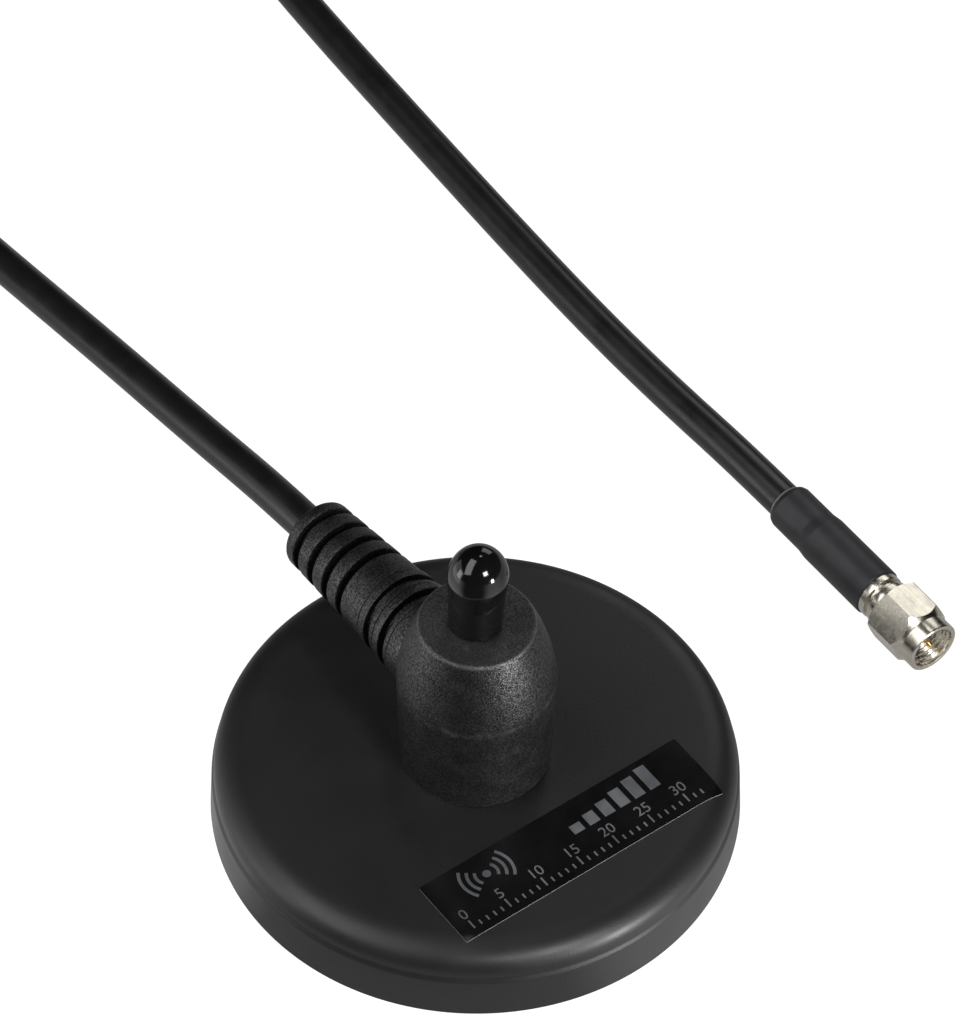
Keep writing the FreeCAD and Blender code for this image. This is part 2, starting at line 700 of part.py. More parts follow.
def lead_route():
    """Out of the relief, down to the roof and on to the coil."""
    droop = math.radians(values["relief_droop"])
    along = FreeCAD.Vector(0, math.cos(droop), -math.sin(droop))
    exit_point = FreeCAD.Vector(0, 0, values["relief_height"]) + along * values["relief_reach"]
    settled = exit_point + along * values["lead_straight"]
    return [
        tuple(exit_point),
        tuple(settled),
        (0, 61, 14.3),
        (0, 84, 9.9),
        (-0.1, 107, 5.1),
        (-0.8, 127, plain(lying)),
        (-2.7, 147, plain(lying)),
        (-5.4, 165, plain(lying) + 0.3),
        (entry_x, stub_y - values["coil_run_in"], coil_level),
        (entry_x, stub_y, coil_level),
    ]


def tail_route():
    """From the coil along the roof to the plug, which holds its end a little higher."""
    plug_x = values["plug_x"]
    plug_y = values["plug_y"]
    height = values["plug_height"]
    return [
        (leave_x, stub_y, coil_level),
        (leave_x, stub_y - values["coil_run_in"], coil_level),
        (68.8, 166, plain(lying) + 0.3),
        (66.1, 151, plain(lying)),
        (64.1, 136, plain(lying)),
        (62.9, 118, plain(lying)),
        (61.9, 98, plain(lying)),
        (60.8, 75, plain(lying)),
        (60.1, 54, plain(lying) + 0.1),
        (plug_x - 0.1, 37, plain(lying) + 1.0),
        (plug_x, plug_y + 8, height),
        (plug_x, plug_y - values["cable_entry"], height),
    ]


def coax_coil():
    """The outer shape of the wound length, with a stub for each end of the cable."""
    body = turned_piece("coax_coil", rectangle(
        coil_inner_turn - cable_radius, coil_outer_turn + cable_radius,
        coil_foot, coil_foot + coil_height))
    last = new_sketch(body, "XZ_Plane", "coil_last_turn")
    draw(last, rectangle(
        coil_outer_turn, coil_last_turn + cable_radius, coil_foot, coil_foot + coil_height))
    revolve(body, last, angle=180)
    for name, across in (("coil_stub_in", -coil_outer_turn), ("coil_stub_out", coil_last_turn)):
        stub = new_sketch(body, "XZ_Plane", name)
        draw_circle(stub, across, coil_foot + cable_radius, cable_radius)
        extrude(body, stub, size("coil_stub"))
    bind(body, "Placement.Base.x", size("coil_x"))
    bind(body, "Placement.Base.y", size("coil_y"))
    doc.recompute()


def coil_tie():
    """A strap round all the turns on the coil's far side."""
    inside = coil_inner_turn - cable_radius - size("tie_gap")
    outside = coil_last_turn + cable_radius + size("tie_gap")
    top = coil_foot + coil_height + size("tie_gap")
    thick = size("tie_thick")
    body = new_body("coil_tie")
    strap = new_sketch(body, "YZ_Plane", "strap_outside")
    draw(strap, rectangle(inside - thick, outside + thick, 0, top + thick))
    extrude(body, strap, size("tie_width"), both_ways=True)
    window = new_sketch(body, "YZ_Plane", "strap_inside")
    draw(window, rectangle(inside, outside, thick, top))
    extrude(body, window, size("tie_width") * 2, "PartDesign::Pocket", both_ways=True)
    bind(body, "Placement.Base.x", size("coil_x"))
    bind(body, "Placement.Base.y", size("coil_y"))
    doc.recompute()


# Plug: each piece is turned about its own Z axis, then laid along -Y behind the cable's end

shoulder_start = size("shrink_length")
groove_start = shoulder_start + size("body_ring_width")
second_ring = groove_start + size("body_groove_width")
second_ring_end = second_ring + size("body_ring_width")
nut_start = second_ring_end + size("nut_gap")
lip_end = nut_start + size("nut_lip")
clip_start = lip_end + running_gap
clip_end = clip_start + size("clip_width")
nut_end = nut_start + size("nut_length")
gasket_start = clip_end + clearance * 2
mating_face = gasket_start + size("front_length")
insulation_start = shoulder_start + size("insulation_inset")
stem_start = size("cable_entry") + size("stem_gap")
pin_start = size("cable_entry") + size("tail_dielectric_length")
stem_bore = size("dielectric_radius") + running_gap
stem_radius = stem_bore + size("stem_wall")
ferrule_bore = cable_radius + running_gap
ferrule_radius = ferrule_bore + size("ferrule_wall")
sleeve_front_bore = ferrule_radius + running_gap
nut_lip_radius = size("nut_thread_radius") - size("nut_lip_height")
body_neck_radius = nut_lip_radius - running_gap
clip_groove_radius = body_neck_radius - size("clip_groove_depth")
front_radius = body_neck_radius - size("front_step")
insulation_bore = front_radius - size("front_wall")
insulation_radius = insulation_bore - running_gap / 2


def lay_on_plug_axis(body, turn=0):
    """Lays a piece on the plug's axis, with its Z axis along -Y."""
    level = FreeCAD.Rotation(FreeCAD.Vector(1, 0, 0), 90)
    spin = FreeCAD.Rotation(FreeCAD.Vector(0, 0, 1), turn)
    body.Placement = FreeCAD.Placement(FreeCAD.Vector(0, 0, 0), level.multiply(spin))
    bind(body, "Placement.Base.x", size("plug_x"))
    bind(body, "Placement.Base.y", size("plug_y"))
    bind(body, "Placement.Base.z", size("plug_height"))
    doc.recompute()


def heat_shrink():
    edge = size("shrink_wall")
    rear_radius = cable_radius + running_gap + size("shrink_rear_wall")
    front_end_radius = sleeve_front_bore + size("shrink_wall")
    lay_on_plug_axis(turned_piece("heat_shrink", [
        (cable_radius + running_gap, 0),
        (rear_radius - edge / 2, 0),
        (rear_radius, edge),
        (rear_radius, size("ferrule_start") - edge * 2),
        (front_end_radius, size("ferrule_start")),
        (front_end_radius, shoulder_start),
        (sleeve_front_bore, shoulder_start),
        (sleeve_front_bore, size("ferrule_start") - running_gap),
        (cable_radius + running_gap, size("ferrule_start") - running_gap),
    ]))


def crimp_ferrule():
    lay_on_plug_axis(turned_piece("crimp_ferrule", rectangle(
        ferrule_bore, ferrule_radius, size("ferrule_start"), shoulder_start)))


def plug_body():
    lay_on_plug_axis(turned_piece("plug_body", [
        (stem_bore, stem_start),
        (stem_radius, stem_start),
        (stem_radius, shoulder_start),
        (size("body_ring_radius"), shoulder_start),
        (size("body_ring_radius"), groove_start),
        (size("body_groove_radius"), groove_start),
        (size("body_groove_radius"), second_ring),
        (size("body_ring_radius"), second_ring),
        (size("body_ring_radius"), second_ring_end),
        (body_neck_radius, second_ring_end),
        (body_neck_radius, clip_start),
        (clip_groove_radius, clip_start),
        (clip_groove_radius, clip_end),
        (body_neck_radius, clip_end),
        (body_neck_radius, gasket_start),
        (front_radius, gasket_start),
        (front_radius, mating_face),
        (insulation_bore, mating_face),
        (insulation_bore, insulation_start),
        (stem_bore, insulation_start),
    ]))


def tail_end_pieces():
    """The stripped end of the cable in the plug: the braid over the stem, and the dielectric."""
    inside = stem_radius + running_gap
    lay_on_plug_axis(turned_piece("tail_braid", rectangle(
        inside, inside + size("tail_braid_wall"), stem_start, shoulder_start - running_gap)))
    lay_on_plug_axis(turned_piece("tail_dielectric", rectangle(
        0, size("dielectric_radius"), size("cable_entry"), pin_start)))


def plug_insulator():
    lay_on_plug_axis(turned_piece("plug_insulator", rectangle(
        size("pin_root_radius") + running_gap / 2, insulation_radius,
        insulation_start, mating_face)))


def plug_pin():
    lay_on_plug_axis(turned_piece("plug_pin", [
        (0, pin_start),
        (size("pin_root_radius"), pin_start),
        (size("pin_root_radius"), mating_face),
        (size("pin_radius"), mating_face),
        (size("pin_radius"), mating_face + size("pin_reach") - size("pin_radius")),
        (size("pin_radius") / 3, mating_face + size("pin_reach")),
        (0, mating_face + size("pin_reach")),
    ]))


def nut_clip():
    lay_on_plug_axis(turned_piece("nut_clip", rectangle(
        clip_groove_radius + running_gap / 2, size("nut_thread_radius") - size("clip_gap"),
        clip_start, clip_end)))


def plug_gasket():
    inside = front_radius + running_gap / 2
    outside = size("nut_thread_radius") - clearance
    lay_on_plug_axis(turned_piece("plug_gasket", rectangle(
        inside, outside, gasket_start, gasket_start + size("gasket_width"))))


def coupling_nut():
    corner = size("nut_flats") / math.sqrt(3)
    flat = size("nut_flats") / 2
    hex_end = nut_start + size("nut_hex_length")
    body = new_body("coupling_nut")
    sketch = new_sketch(body, "XY_Plane", "nut_hexagon")
    draw(sketch, hexagon(corner))
    extrude(body, sketch, hex_end)
    ends = new_sketch(body, "XZ_Plane", "nut_rear_trim")
    draw(ends, rectangle(0, corner * 2, 0, nut_start))
    cut_round(body, ends)
    for name, face, inner in (("rear", nut_start, nut_start + size("nut_chamfer")),
                              ("front", hex_end, hex_end - size("nut_chamfer"))):
        chamfer = new_sketch(body, "XZ_Plane", "nut_%s_chamfer" % name)
        corners = [(flat, face), (corner, inner), (corner * 2, inner), (corner * 2, face)]
        draw(chamfer, corners if name == "front" else corners[::-1])
        cut_round(body, chamfer)
    barrel = new_sketch(body, "XZ_Plane", "nut_barrel")
    draw(barrel, rectangle(0, size("nut_barrel_radius"), nut_start, nut_end))
    revolve(body, barrel)
    bore = new_sketch(body, "XZ_Plane", "nut_bore")
    mouth = size("nut_mouth_chamfer")
    draw(bore, [
        (0, 0),
        (nut_lip_radius, 0),
        (nut_lip_radius, lip_end),
        (size("nut_thread_radius"), lip_end),
        (size("nut_thread_radius"), nut_end - mouth),
        (size("nut_thread_radius") + mouth, nut_end),
        (size("nut_thread_radius") + mouth, nut_end + 1),
        (0, nut_end + 1),
    ])
    cut_round(body, bore)
    lay_on_plug_axis(body, values["nut_turn"])


# Build every piece, check it, and write it under its own name

for make in (
    base_cover, bottom_pad, yoke_cup, ring_magnet, magnet_spacer, lock_washer, fixing_screw,
    neck_boot, mast_bush, stud_insulator, whip_stud, stud_cap, cable_end_pieces, label_plate,
    coax_coil, coil_tie, heat_shrink, crimp_ferrule, plug_body, tail_end_pieces, plug_insulator, plug_pin,
    nut_clip, plug_gasket, coupling_nut,
):
    make()
cable_tube("coax_lead", lead_route())
cable_tube("coax_tail", tail_route())
doc.recompute()

for item in doc.Objects:
    if "Invalid" in item.State or "Error" in item.State:
        raise RuntimeError("%s did not rebuild: %s" % (item.Label, item.State))

PIECE_TYPES = ("PartDesign::Body", "Part::Box", "Part::Feature")
os.makedirs("parts", exist_ok=True)
pieces = [item for item in doc.Objects if item.TypeId in PIECE_TYPES]
for piece in pieces:
    if piece.Shape.isNull() or not piece.Shape.isValid():
        raise RuntimeError(piece.Label + " has no valid shape")
for piece in pieces:
    piece.Shape.exportStep("parts/%s.step" % piece.Label)
    print(piece.Label, len(piece.Shape.Solids), "solid,", round(piece.Shape.Volume, 1), "mm3")
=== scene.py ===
# %% [markdown]
# A magnet base for a car antenna, with its lead and its screw-on plug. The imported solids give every
# size and place. This file dresses them: it rounds the edges that a mould rounds, cuts the threads
# that the solids leave out, winds the real length of cable, and gives each piece its finish.

# %% The fixed frame
import math
import bmesh
import bpy
from mathutils import Matrix, Vector


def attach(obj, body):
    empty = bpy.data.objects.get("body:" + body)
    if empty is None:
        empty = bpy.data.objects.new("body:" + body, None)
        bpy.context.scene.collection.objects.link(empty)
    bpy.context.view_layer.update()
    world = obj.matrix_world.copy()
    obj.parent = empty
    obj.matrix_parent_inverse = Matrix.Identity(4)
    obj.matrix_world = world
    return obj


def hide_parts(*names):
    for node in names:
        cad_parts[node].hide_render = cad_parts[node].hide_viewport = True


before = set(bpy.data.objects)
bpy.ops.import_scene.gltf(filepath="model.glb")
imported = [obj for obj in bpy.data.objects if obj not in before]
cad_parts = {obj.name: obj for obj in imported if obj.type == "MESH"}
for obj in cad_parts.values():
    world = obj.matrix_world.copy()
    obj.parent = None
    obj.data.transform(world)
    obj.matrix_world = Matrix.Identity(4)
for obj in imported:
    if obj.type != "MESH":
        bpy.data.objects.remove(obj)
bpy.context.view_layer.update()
MM = 0.001

# %% [markdown]
# The camera stands as the photograph's did: far off, with a long lens, 49.5 degrees above the table.
# The view was worked out from the round base, the two stretches of cable and the plug. A far camera
# with a long lens keeps a small object free of strong perspective, which is why product photographs
# look so calm.

# %% The camera
camera_data = bpy.data.cameras.new("photo_lens")
camera_data.lens = 186.33
camera_data.sensor_width = 36.0
camera_data.clip_start = 0.05
camera_data.clip_end = 30.0
camera = bpy.data.objects.new("photo_camera", camera_data)
bpy.context.scene.collection.objects.link(camera)
right = Vector((0.8018, -0.5976, 0.0)).normalized()
back = Vector((-0.3881, -0.5207, 0.7604)).normalized()
up = back.cross(right)
turn = Matrix((right, up, back)).transposed().to_4x4()
place = Matrix.Translation(Vector((-243.57, -327.57, 533.87)) * MM)
camera.matrix_world = place @ turn @ Matrix.Rotation(math.radians(0.5816), 4, "Z")
bpy.context.scene.camera = camera
print("camera at", [round(v, 3) for v in camera.location])

# %% [markdown]
# The cable is one smooth line from the strain relief to the plug. Its first stretch droops out of the
# relief, lies on the table and leaves the view. What the photograph doesn't show is wound as on a
# storage reel, four layers high. A NURBS curve with a round bevel makes a tube that has no kinks, and
# each turn of the coil takes 24 of its points. A cable that climbs to the next layer swings out a
# little, to clear its neighbours.

# %% The cable's route
LEAD_POINTS = (
    (0, 34.378, 19.133), (0, 43.320, 18.114), (0, 61, 14.3), (0, 84, 9.9), (-0.1, 107, 5.1),
    (-0.8, 127, 2.5), (-2.7, 147, 2.5), (-5.4, 165, 2.8), (-6.875, 179, 3.625), (-6.875, 188, 3.625),
)
TAIL_POINTS = (
    (70.125, 188, 3.625), (70.125, 179, 3.625), (68.8, 166, 2.8), (66.1, 151, 2.5), (64.1, 136, 2.5),
    (62.9, 118, 2.5), (61.9, 98, 2.5), (60.8, 75, 2.5), (60.1, 54, 2.6), (59.8, 37, 3.5),
    (59.9, 20.25, 4.65), (59.9, 2.75, 4.65),
)
CABLE = 4.95
COIL_X, COIL_Y = 29.0, 210.0
OUTER_TURN, INNER_TURN, LAST_TURN = 35.875, 20.125, 41.125
LAYERS = (3.625, 8.725, 13.825, 18.925)
TURNS_A_LAYER, TURNS_TO_CLIMB = 3, 2 / 3
POINTS_A_TURN = 24
OUT_AT, OUT_TURNS, FALL_AT, FALL_TURNS, COIL_TURNS, SWING = 14, 0.15, 14.08, 0.42, 14.5, 0.8


def eased(share):
    """From 0 to 1 with a soft start and a soft end."""
    share = min(max(share, 0.0), 1.0)
    return (1 - math.cos(math.pi * share)) / 2


def wound(turn):
    """Radius and height of the cable after that many turns of the coil."""
    if turn > OUT_AT:
        out = min((turn - OUT_AT) / OUT_TURNS, 1.0)
        fall = eased((turn - FALL_AT) / FALL_TURNS)
        return OUTER_TURN + (LAST_TURN - OUTER_TURN) * out, LAYERS[3] + (LAYERS[0] - LAYERS[3]) * fall
    layer = min(int(turn / (TURNS_A_LAYER + TURNS_TO_CLIMB)), 3)
    along = turn - layer * (TURNS_A_LAYER + TURNS_TO_CLIMB)
    begin, end = (OUTER_TURN, INNER_TURN) if layer % 2 == 0 else (INNER_TURN, OUTER_TURN)
    if along <= TURNS_A_LAYER:
        return begin + (end - begin) * along / TURNS_A_LAYER, LAYERS[layer]
    climb = (along - TURNS_A_LAYER) / TURNS_TO_CLIMB
    swing = SWING * math.sin(math.pi * climb) * (-1 if layer % 2 == 0 else 1)
    return end + swing, LAYERS[layer] + (LAYERS[layer + 1] - LAYERS[layer]) * eased(climb)


def coil_points():
    """The coil's turns, clockwise from above, from its left side round to its right side."""
    points = []
    for step in range(1, int(COIL_TURNS * POINTS_A_TURN)):
        turn = step / POINTS_A_TURN
        radius, height = wound(turn)
        radius /= math.cos(math.pi / POINTS_A_TURN)
        angle = math.pi - 2 * math.pi * turn
        points.append((COIL_X + radius * math.cos(angle), COIL_Y + radius * math.sin(angle), height))
    return points


# %% The cable itself
def new_piece(name, shape):
    """A new object of the scene from a mesh, a curve or a lamp."""
    piece = bpy.data.objects.new(name, shape)
    bpy.context.scene.collection.objects.link(piece)
    return piece


def smooth_line(name, points):
    """A curve object with one open NURBS spline through millimetre control points."""
    line = bpy.data.curves.new(name, "CURVE")
    line.dimensions = "3D"
    spline = line.splines.new("NURBS")
    spline.points.add(len(points) - 1)
    for knot, point in zip(spline.points, points):
        knot.co = (point[0] * MM, point[1] * MM, point[2] * MM, 1.0)
    spline.order_u = 3
    spline.use_endpoint_u = True
    spline.resolution_u = 6
    line.resolution_u = 6
    return new_piece(name, line)


route = list(LEAD_POINTS) + coil_points() + list(TAIL_POINTS)
cable = smooth_line("antenna_cable", route)


def worked_mesh(shape):
    """A plain mesh of a curve, a text or a piece with modifiers, as it is now."""
    graph = bpy.context.evaluated_depsgraph_get()
    graph.update()
    return bpy.data.meshes.new_from_object(shape.evaluated_get(graph))


def centre_line(shape):
    """The points that the curve really follows, and their whole length in metres."""
    shape.data.bevel_depth = 0
    mesh = worked_mesh(shape)
    followed = [v.co.copy() for v in mesh.vertices]
    bpy.data.meshes.remove(mesh)
    return followed, sum((b - a).length for a, b in zip(followed, followed[1:]))


cable_line, cable_length = centre_line(cable)
cable.data.bevel_depth = CABLE / 2 * MM
cable.data.bevel_resolution = 10
cable.data.use_fill_caps = True
print("cable", len(route), "points", round(cable_length, 4), "m long")

# %% [markdown]
# Most of the pieces are turned, so one small tool makes them: an outline of radius and height, spun
# round an axis. A corner may carry a third number, the radius of its rounding, because a moulded or
# machined edge is never sharp, and the thin light line on such an edge is what makes a piece look
# solid.

# %% Outlines with rounded corners
def rounded(corners, steps=4, closed=True):
    """The outline with an arc of steps + 1 points in place of each corner that has a radius."""
    points = []
    for number, corner in enumerate(corners):
        here = Vector(corner[:2])
        radius = corner[2] if len(corner) > 2 else 0.0
        if radius <= 0 or (not closed and number in (0, len(corners) - 1)):
            points.append(here)
            continue
        before = Vector(corners[number - 1][:2]) - here
        after = Vector(corners[(number + 1) % len(corners)][:2]) - here
        half = before.angle(after) / 2
        reach = min(radius / math.tan(half), 0.48 * before.length, 0.48 * after.length)
        radius = reach * math.tan(half)
        centre = here + (before.normalized() + after.normalized()).normalized() * (radius / math.sin(half))
        start = (here + before.normalized() * reach - centre).normalized()
        end = (here + after.normalized() * reach - centre).normalized()
        points.extend(centre + start.slerp(end, step / steps) * radius for step in range(steps + 1))
    return points


def bowed(start, end, radius, steps=12):
    """Points of an arc that bulges outwards between two outline points, without the two."""
    start = Vector(start)
    end = Vector(end)
    middle = (start + end) / 2
    half = (end - start).length / 2
    across = Vector((-(end - start).y, (end - start).x)).normalized()
    centre = middle + across * math.sqrt(radius ** 2 - half ** 2)
    first, last = (start - centre).normalized(), (end - centre).normalized()
    return [tuple(centre + first.slerp(last, step / steps) * radius) for step in range(1, steps)]


# %% The lathe
def made(name, work):
    """A new piece from a bmesh, which is used up."""
    mesh = bpy.data.meshes.new(name)
    work.to_mesh(mesh)
    work.free()
    return new_piece(name, mesh)


def turned(name, outline, placing=None, segments=128, closed=True):
    """Spins an outline of (radius, height) points in millimetres round the Z axis of placing."""
    work = bmesh.new()
    angles = [2 * math.pi * n / segments for n in range(segments)]
    ways = [(math.cos(angle), math.sin(angle)) for angle in angles]
    rings = []
    for radius, height in outline:
        count = 1 if radius < 1e-6 else segments
        rings.append([work.verts.new((radius * x, radius * y, height)) for x, y in ways[:count]])
    pairs = list(zip(rings, rings[1:] + rings[:1])) if closed else list(zip(rings, rings[1:]))
    for low, high in pairs:
        if len(low) == len(high) == 1:
            continue
        for here in range(segments):
            after = (here + 1) % segments
            corners = (low[here % len(low)], low[after % len(low)],
                       high[after % len(high)], high[here % len(high)])
            work.faces.new(tuple(dict.fromkeys(corners)))
    bmesh.ops.recalc_face_normals(work, faces=work.faces)
    work.transform(Matrix.Scale(MM, 4))
    if placing is not None:
        work.transform(placing)
    return made(name, work)


def axis_frame(point, along, across=(1, 0, 0)):
    """The placing of a piece whose own Z axis lies along a direction from a millimetre point."""
    z = Vector(along).normalized()
    x = Vector(across).normalized()
    y = z.cross(x)
    return Matrix.Translation(Vector(point) * MM) @ Matrix((x, y, z)).transposed().to_4x4()


# %% Joining, cutting and smoothing
def plain(piece):
    """The piece with its modifiers worked into a plain mesh."""
    mesh = worked_mesh(piece)
    old = piece.data
    piece.modifiers.clear()
    piece.data = mesh
    bpy.data.meshes.remove(old)
    return piece


def worked(piece, tool, operation):
    """Joins, cuts or trims the piece with a tool, which is then taken away."""
    step = piece.modifiers.new("cut", "BOOLEAN")
    step.operation = operation
    step.solver = "EXACT"
    step.object = tool
    plain(piece)
    bpy.data.objects.remove(tool)
    return piece


def smooth(piece, angle=32):
    """Soft shading that keeps edges sharper than the angle, and flat faces flat."""
    piece.data.shade_smooth()
    piece.data.set_sharp_from_angle(angle=math.radians(angle))
    weigh = piece.modifiers.new("even_faces", "WEIGHTED_NORMAL")
    weigh.keep_sharp = True
    weigh.weight = 60
    return plain(piece)


# %% [markdown]
# Finishes are built from nodes, never from pictures. Each one reads the object's own coordinates, so
# its grain stays put when the piece moves. One helper starts a finish, and a few small ones add what
# a real surface has: uneven gloss, grain that catches light, and colour that isn't quite the same
# everywhere.

# %% Helpers for node trees
def feed(tree, node, *values):
    """Sets a node's inputs in order, from numbers or from what other nodes give."""
    for socket, value in zip(node.inputs, values):
        if isinstance(value, (int, float)):
            socket.default_value = value
        else:
            tree.links.new(value, socket)
    return node.outputs[0]


def sums(tree, operation, *values):
    """One step of arithmetic in a node tree."""
    node = tree.nodes.new("ShaderNodeMath")
    node.operation = operation
    return feed(tree, node, *values)


def vector(tree, *values):
    """A vector from its x, y and z, of which the last ones may be left out as zero."""
    return feed(tree, tree.nodes.new("ShaderNodeCombineXYZ"), *values)


def parts_of(tree, source):
    """The x, y and z of what another node gives."""
    split = tree.nodes.new("ShaderNodeSeparateXYZ")
    tree.links.new(source, split.inputs[0])
    return split.outputs


def spread(tree, value, low, high, least, most, soft=False):
    """A value between low and high spread out to run from least to most."""
    node = tree.nodes.new("ShaderNodeMapRange")
    node.interpolation_type = "SMOOTHSTEP" if soft else "LINEAR"
    for socket, number in (("From Min", low), ("From Max", high), ("To Min", least), ("To Max", most)):
        node.inputs[socket].default_value = number
    tree.links.new(value, node.inputs["Value"])
    return node.outputs["Result"]


# %% Helpers for finishes
def grain(material, size, detail=3.0, stretch=(1, 1, 1), rough=0.5):
    """Noise of a given feature size in millimetres, from the piece's own coordinates."""
    tree = material.node_tree
    where = tree.nodes.new("ShaderNodeTexCoord")
    fit = tree.nodes.new("ShaderNodeMapping")
    fit.inputs["Scale"].default_value = stretch
    noise = tree.nodes.new("ShaderNodeTexNoise")
    noise.inputs["Scale"].default_value = 1.0 / (size * MM)
    noise.inputs["Detail"].default_value = detail
    noise.inputs["Roughness"].default_value = rough
    tree.links.new(where.outputs["Object"], fit.inputs["Vector"])
    tree.links.new(fit.outputs["Vector"], noise.inputs["Vector"])
    return noise.outputs["Fac"]


def ranged(material, value, low, high, least, most):
    """A value of a finish spread out to run from least to most."""
    return spread(material.node_tree, value, low, high, least, most)


def uneven_gloss(material, value, least, most, low=0.3, high=0.7, socket="Roughness"):
    """Roughness, or another value of the shader, that runs from least to most with the value."""
    uneven = ranged(material, value, low, high, least, most)
    material.node_tree.links.new(uneven, material.node_tree.nodes["Principled BSDF"].inputs[socket])


def uneven_colour(material, value, dark, light):
    """Colour that runs from dark to light with the value."""
    tree = material.node_tree
    mix = tree.nodes.new("ShaderNodeMix")
    mix.data_type = "RGBA"
    mix.inputs["A"].default_value = (*dark, 1.0)
    mix.inputs["B"].default_value = (*light, 1.0)
    tree.links.new(value, mix.inputs["Factor"])
    tree.links.new(mix.outputs["Result"], tree.nodes["Principled BSDF"].inputs["Base Color"])


def maths(material, operation, *values):
    """One step of arithmetic between values of a finish."""
    return sums(material.node_tree, operation, *values)


def own_place(material, space="Object"):
    """The x, y and z of each point of the piece, in metres, or of another kind of coordinates."""
    tree = material.node_tree
    return parts_of(tree, tree.nodes.new("ShaderNodeTexCoord").outputs[space])


def belt(material, value, middle, half):
    """1 in the middle of a narrow belt of the value, in millimetres, down to 0 at its sides."""
    away = maths(material, "ABSOLUTE", maths(material, "SUBTRACT", value, middle * MM))
    return ranged(material, away, 0, half * MM, 1, 0)


def relief(material, value, depth):
    """Fine height from the value, with its depth in millimetres, added to any height before it."""
    tree = material.node_tree
    shader = tree.nodes["Principled BSDF"]
    bump = tree.nodes.new("ShaderNodeBump")
    bump.inputs["Strength"].default_value = 1.0
    bump.inputs["Distance"].default_value = depth * MM
    tree.links.new(value, bump.inputs["Height"])
    if shader.inputs["Normal"].is_linked:
        tree.links.new(shader.inputs["Normal"].links[0].from_socket, bump.inputs["Normal"])
    tree.links.new(bump.outputs["Normal"], shader.inputs["Normal"])


def finish(name, colour, roughness, metallic=0.0, gloss=None, tint=None, bumps=None, **more):
    """A material. Gloss, tint and bumps name the size and detail of a grain, and then its range."""
    material = bpy.data.materials.new(name)
    material.use_nodes = True
    material.diffuse_color = (*colour, 1.0)
    shader = material.node_tree.nodes["Principled BSDF"]
    shader.inputs["Base Color"].default_value = (*colour, 1.0)
    shader.inputs["Roughness"].default_value = roughness
    shader.inputs["Metallic"].default_value = metallic
    for socket, value in more.items():
        shader.inputs[socket.replace("_", " ")].default_value = value
    for change, given in ((uneven_gloss, gloss), (uneven_colour, tint), (relief, bumps)):
        if given:
            change(material, grain(material, *given[:2]), *given[2:])
    return material


# %% [markdown]
# Black is never just black. The cover is a moulded satin plastic with a fine even grain. The neck is
# a softer, mottled rubber whose light breaks up into specks. The cap is glossy vinyl, the cable a
# satin jacket, and the sleeve at the plug a dull grey-black. What tells them apart is the gloss, so
# each gets its own.

# %% Black finishes
cover_plastic = finish("cover_plastic", (0.0085, 0.0085, 0.0088), 0.45,
                       gloss=(6.0, 3.0, 0.42, 0.49), bumps=(0.35, 2.0, 0.018))

neck_rubber = finish("neck_rubber", (0.009, 0.009, 0.0095), 0.44)
mottle = grain(neck_rubber, 2.4, 4.0, rough=0.6)
uneven_gloss(neck_rubber, mottle, 0.36, 0.48)
specks = grain(neck_rubber, 0.26, 2.0, rough=0.8)
relief(neck_rubber, specks, 0.06)
uneven_gloss(neck_rubber, specks, 0.10, 1.0, 0.40, 0.66, "Specular IOR Level")


def rubber(operation, *values):
    """One step of arithmetic in the rubber's own tree."""
    return maths(neck_rubber, operation, *values)


# The neck's rim, the line where its shoulder breaks and its foot are painted paler in patches. These are
# painted highlights on those edges, and an even painted highlight line runs round the rim as well. The
# relief has fine pale lines on its three steps, painted highlights at distances from the neck's axis along
# its own.
DROOP, NECK_SIDE, STEP_LINES = math.radians(6.5), 9.0, (14.75, 11.40, 8.0)
across, along, height = own_place(neck_rubber)
rim = belt(neck_rubber, height, 35.2, 0.35)
break_line = rubber("MULTIPLY", belt(neck_rubber, height, 25.4, 0.9), 0.5)
foot = rubber("MULTIPLY", belt(neck_rubber, height, 10.7, 0.4), 0.6)
edge_highlight_lines = rubber("MAXIMUM", rubber("MAXIMUM", rim, break_line), foot)
on_neck = rubber("LESS_THAN", along, NECK_SIDE * MM)
patchy = ranged(neck_rubber, grain(neck_rubber, 1.6, 5.0, rough=0.75), 0.42, 0.72, 0, 1)
# Painted highlights on the neck's rim, shoulder break and foot, broken up in patches.
painted_highlights = rubber("MULTIPLY", rubber("MULTIPLY", edge_highlight_lines, on_neck), patchy)
even_rim_highlight = rubber("MULTIPLY", rim, 0.35)
way_out = rubber("ADD", rubber("MULTIPLY", along, math.cos(DROOP)),
                 rubber("MULTIPLY", height, -math.sin(DROOP)))
# Pale bands on the relief's three steps are painted highlights.
first_line, second_line, third_line = [belt(neck_rubber, way_out, at, 0.16) for at in STEP_LINES]
step_highlights = rubber("MAXIMUM", rubber("MAXIMUM", first_line, second_line), third_line)
off_neck = rubber("SUBTRACT", 1.0, on_neck)
step_highlights = rubber("MULTIPLY", rubber("MULTIPLY", step_highlights, off_neck), 0.5)
painted_highlights = rubber("MAXIMUM", rubber("MAXIMUM", painted_highlights, even_rim_highlight), step_highlights)
dusty = rubber("MULTIPLY", ranged(neck_rubber, mottle, 0.45, 0.8, 0, 1), 0.05)
# The painted highlights and a random paler mottle lift the colour towards a pale grey.
uneven_colour(neck_rubber, rubber("MAXIMUM", painted_highlights, dusty), (0.0058, 0.0058, 0.0066), (0.105, 0.104, 0.102))

cap_vinyl = finish("cap_vinyl", (0.004, 0.004, 0.0045), 0.10, bumps=(5.0, 1.0, 0.10))
uneven_gloss(cap_vinyl, grain(cap_vinyl, 1.2, 3.0), 0.07, 0.12, 0.35)

jacket_vinyl = finish("jacket_vinyl", (0.0075, 0.0075, 0.008), 0.3,
                      gloss=(4.0, 3.0, 0.26, 0.36), bumps=(0.6, 2.0, 0.006))

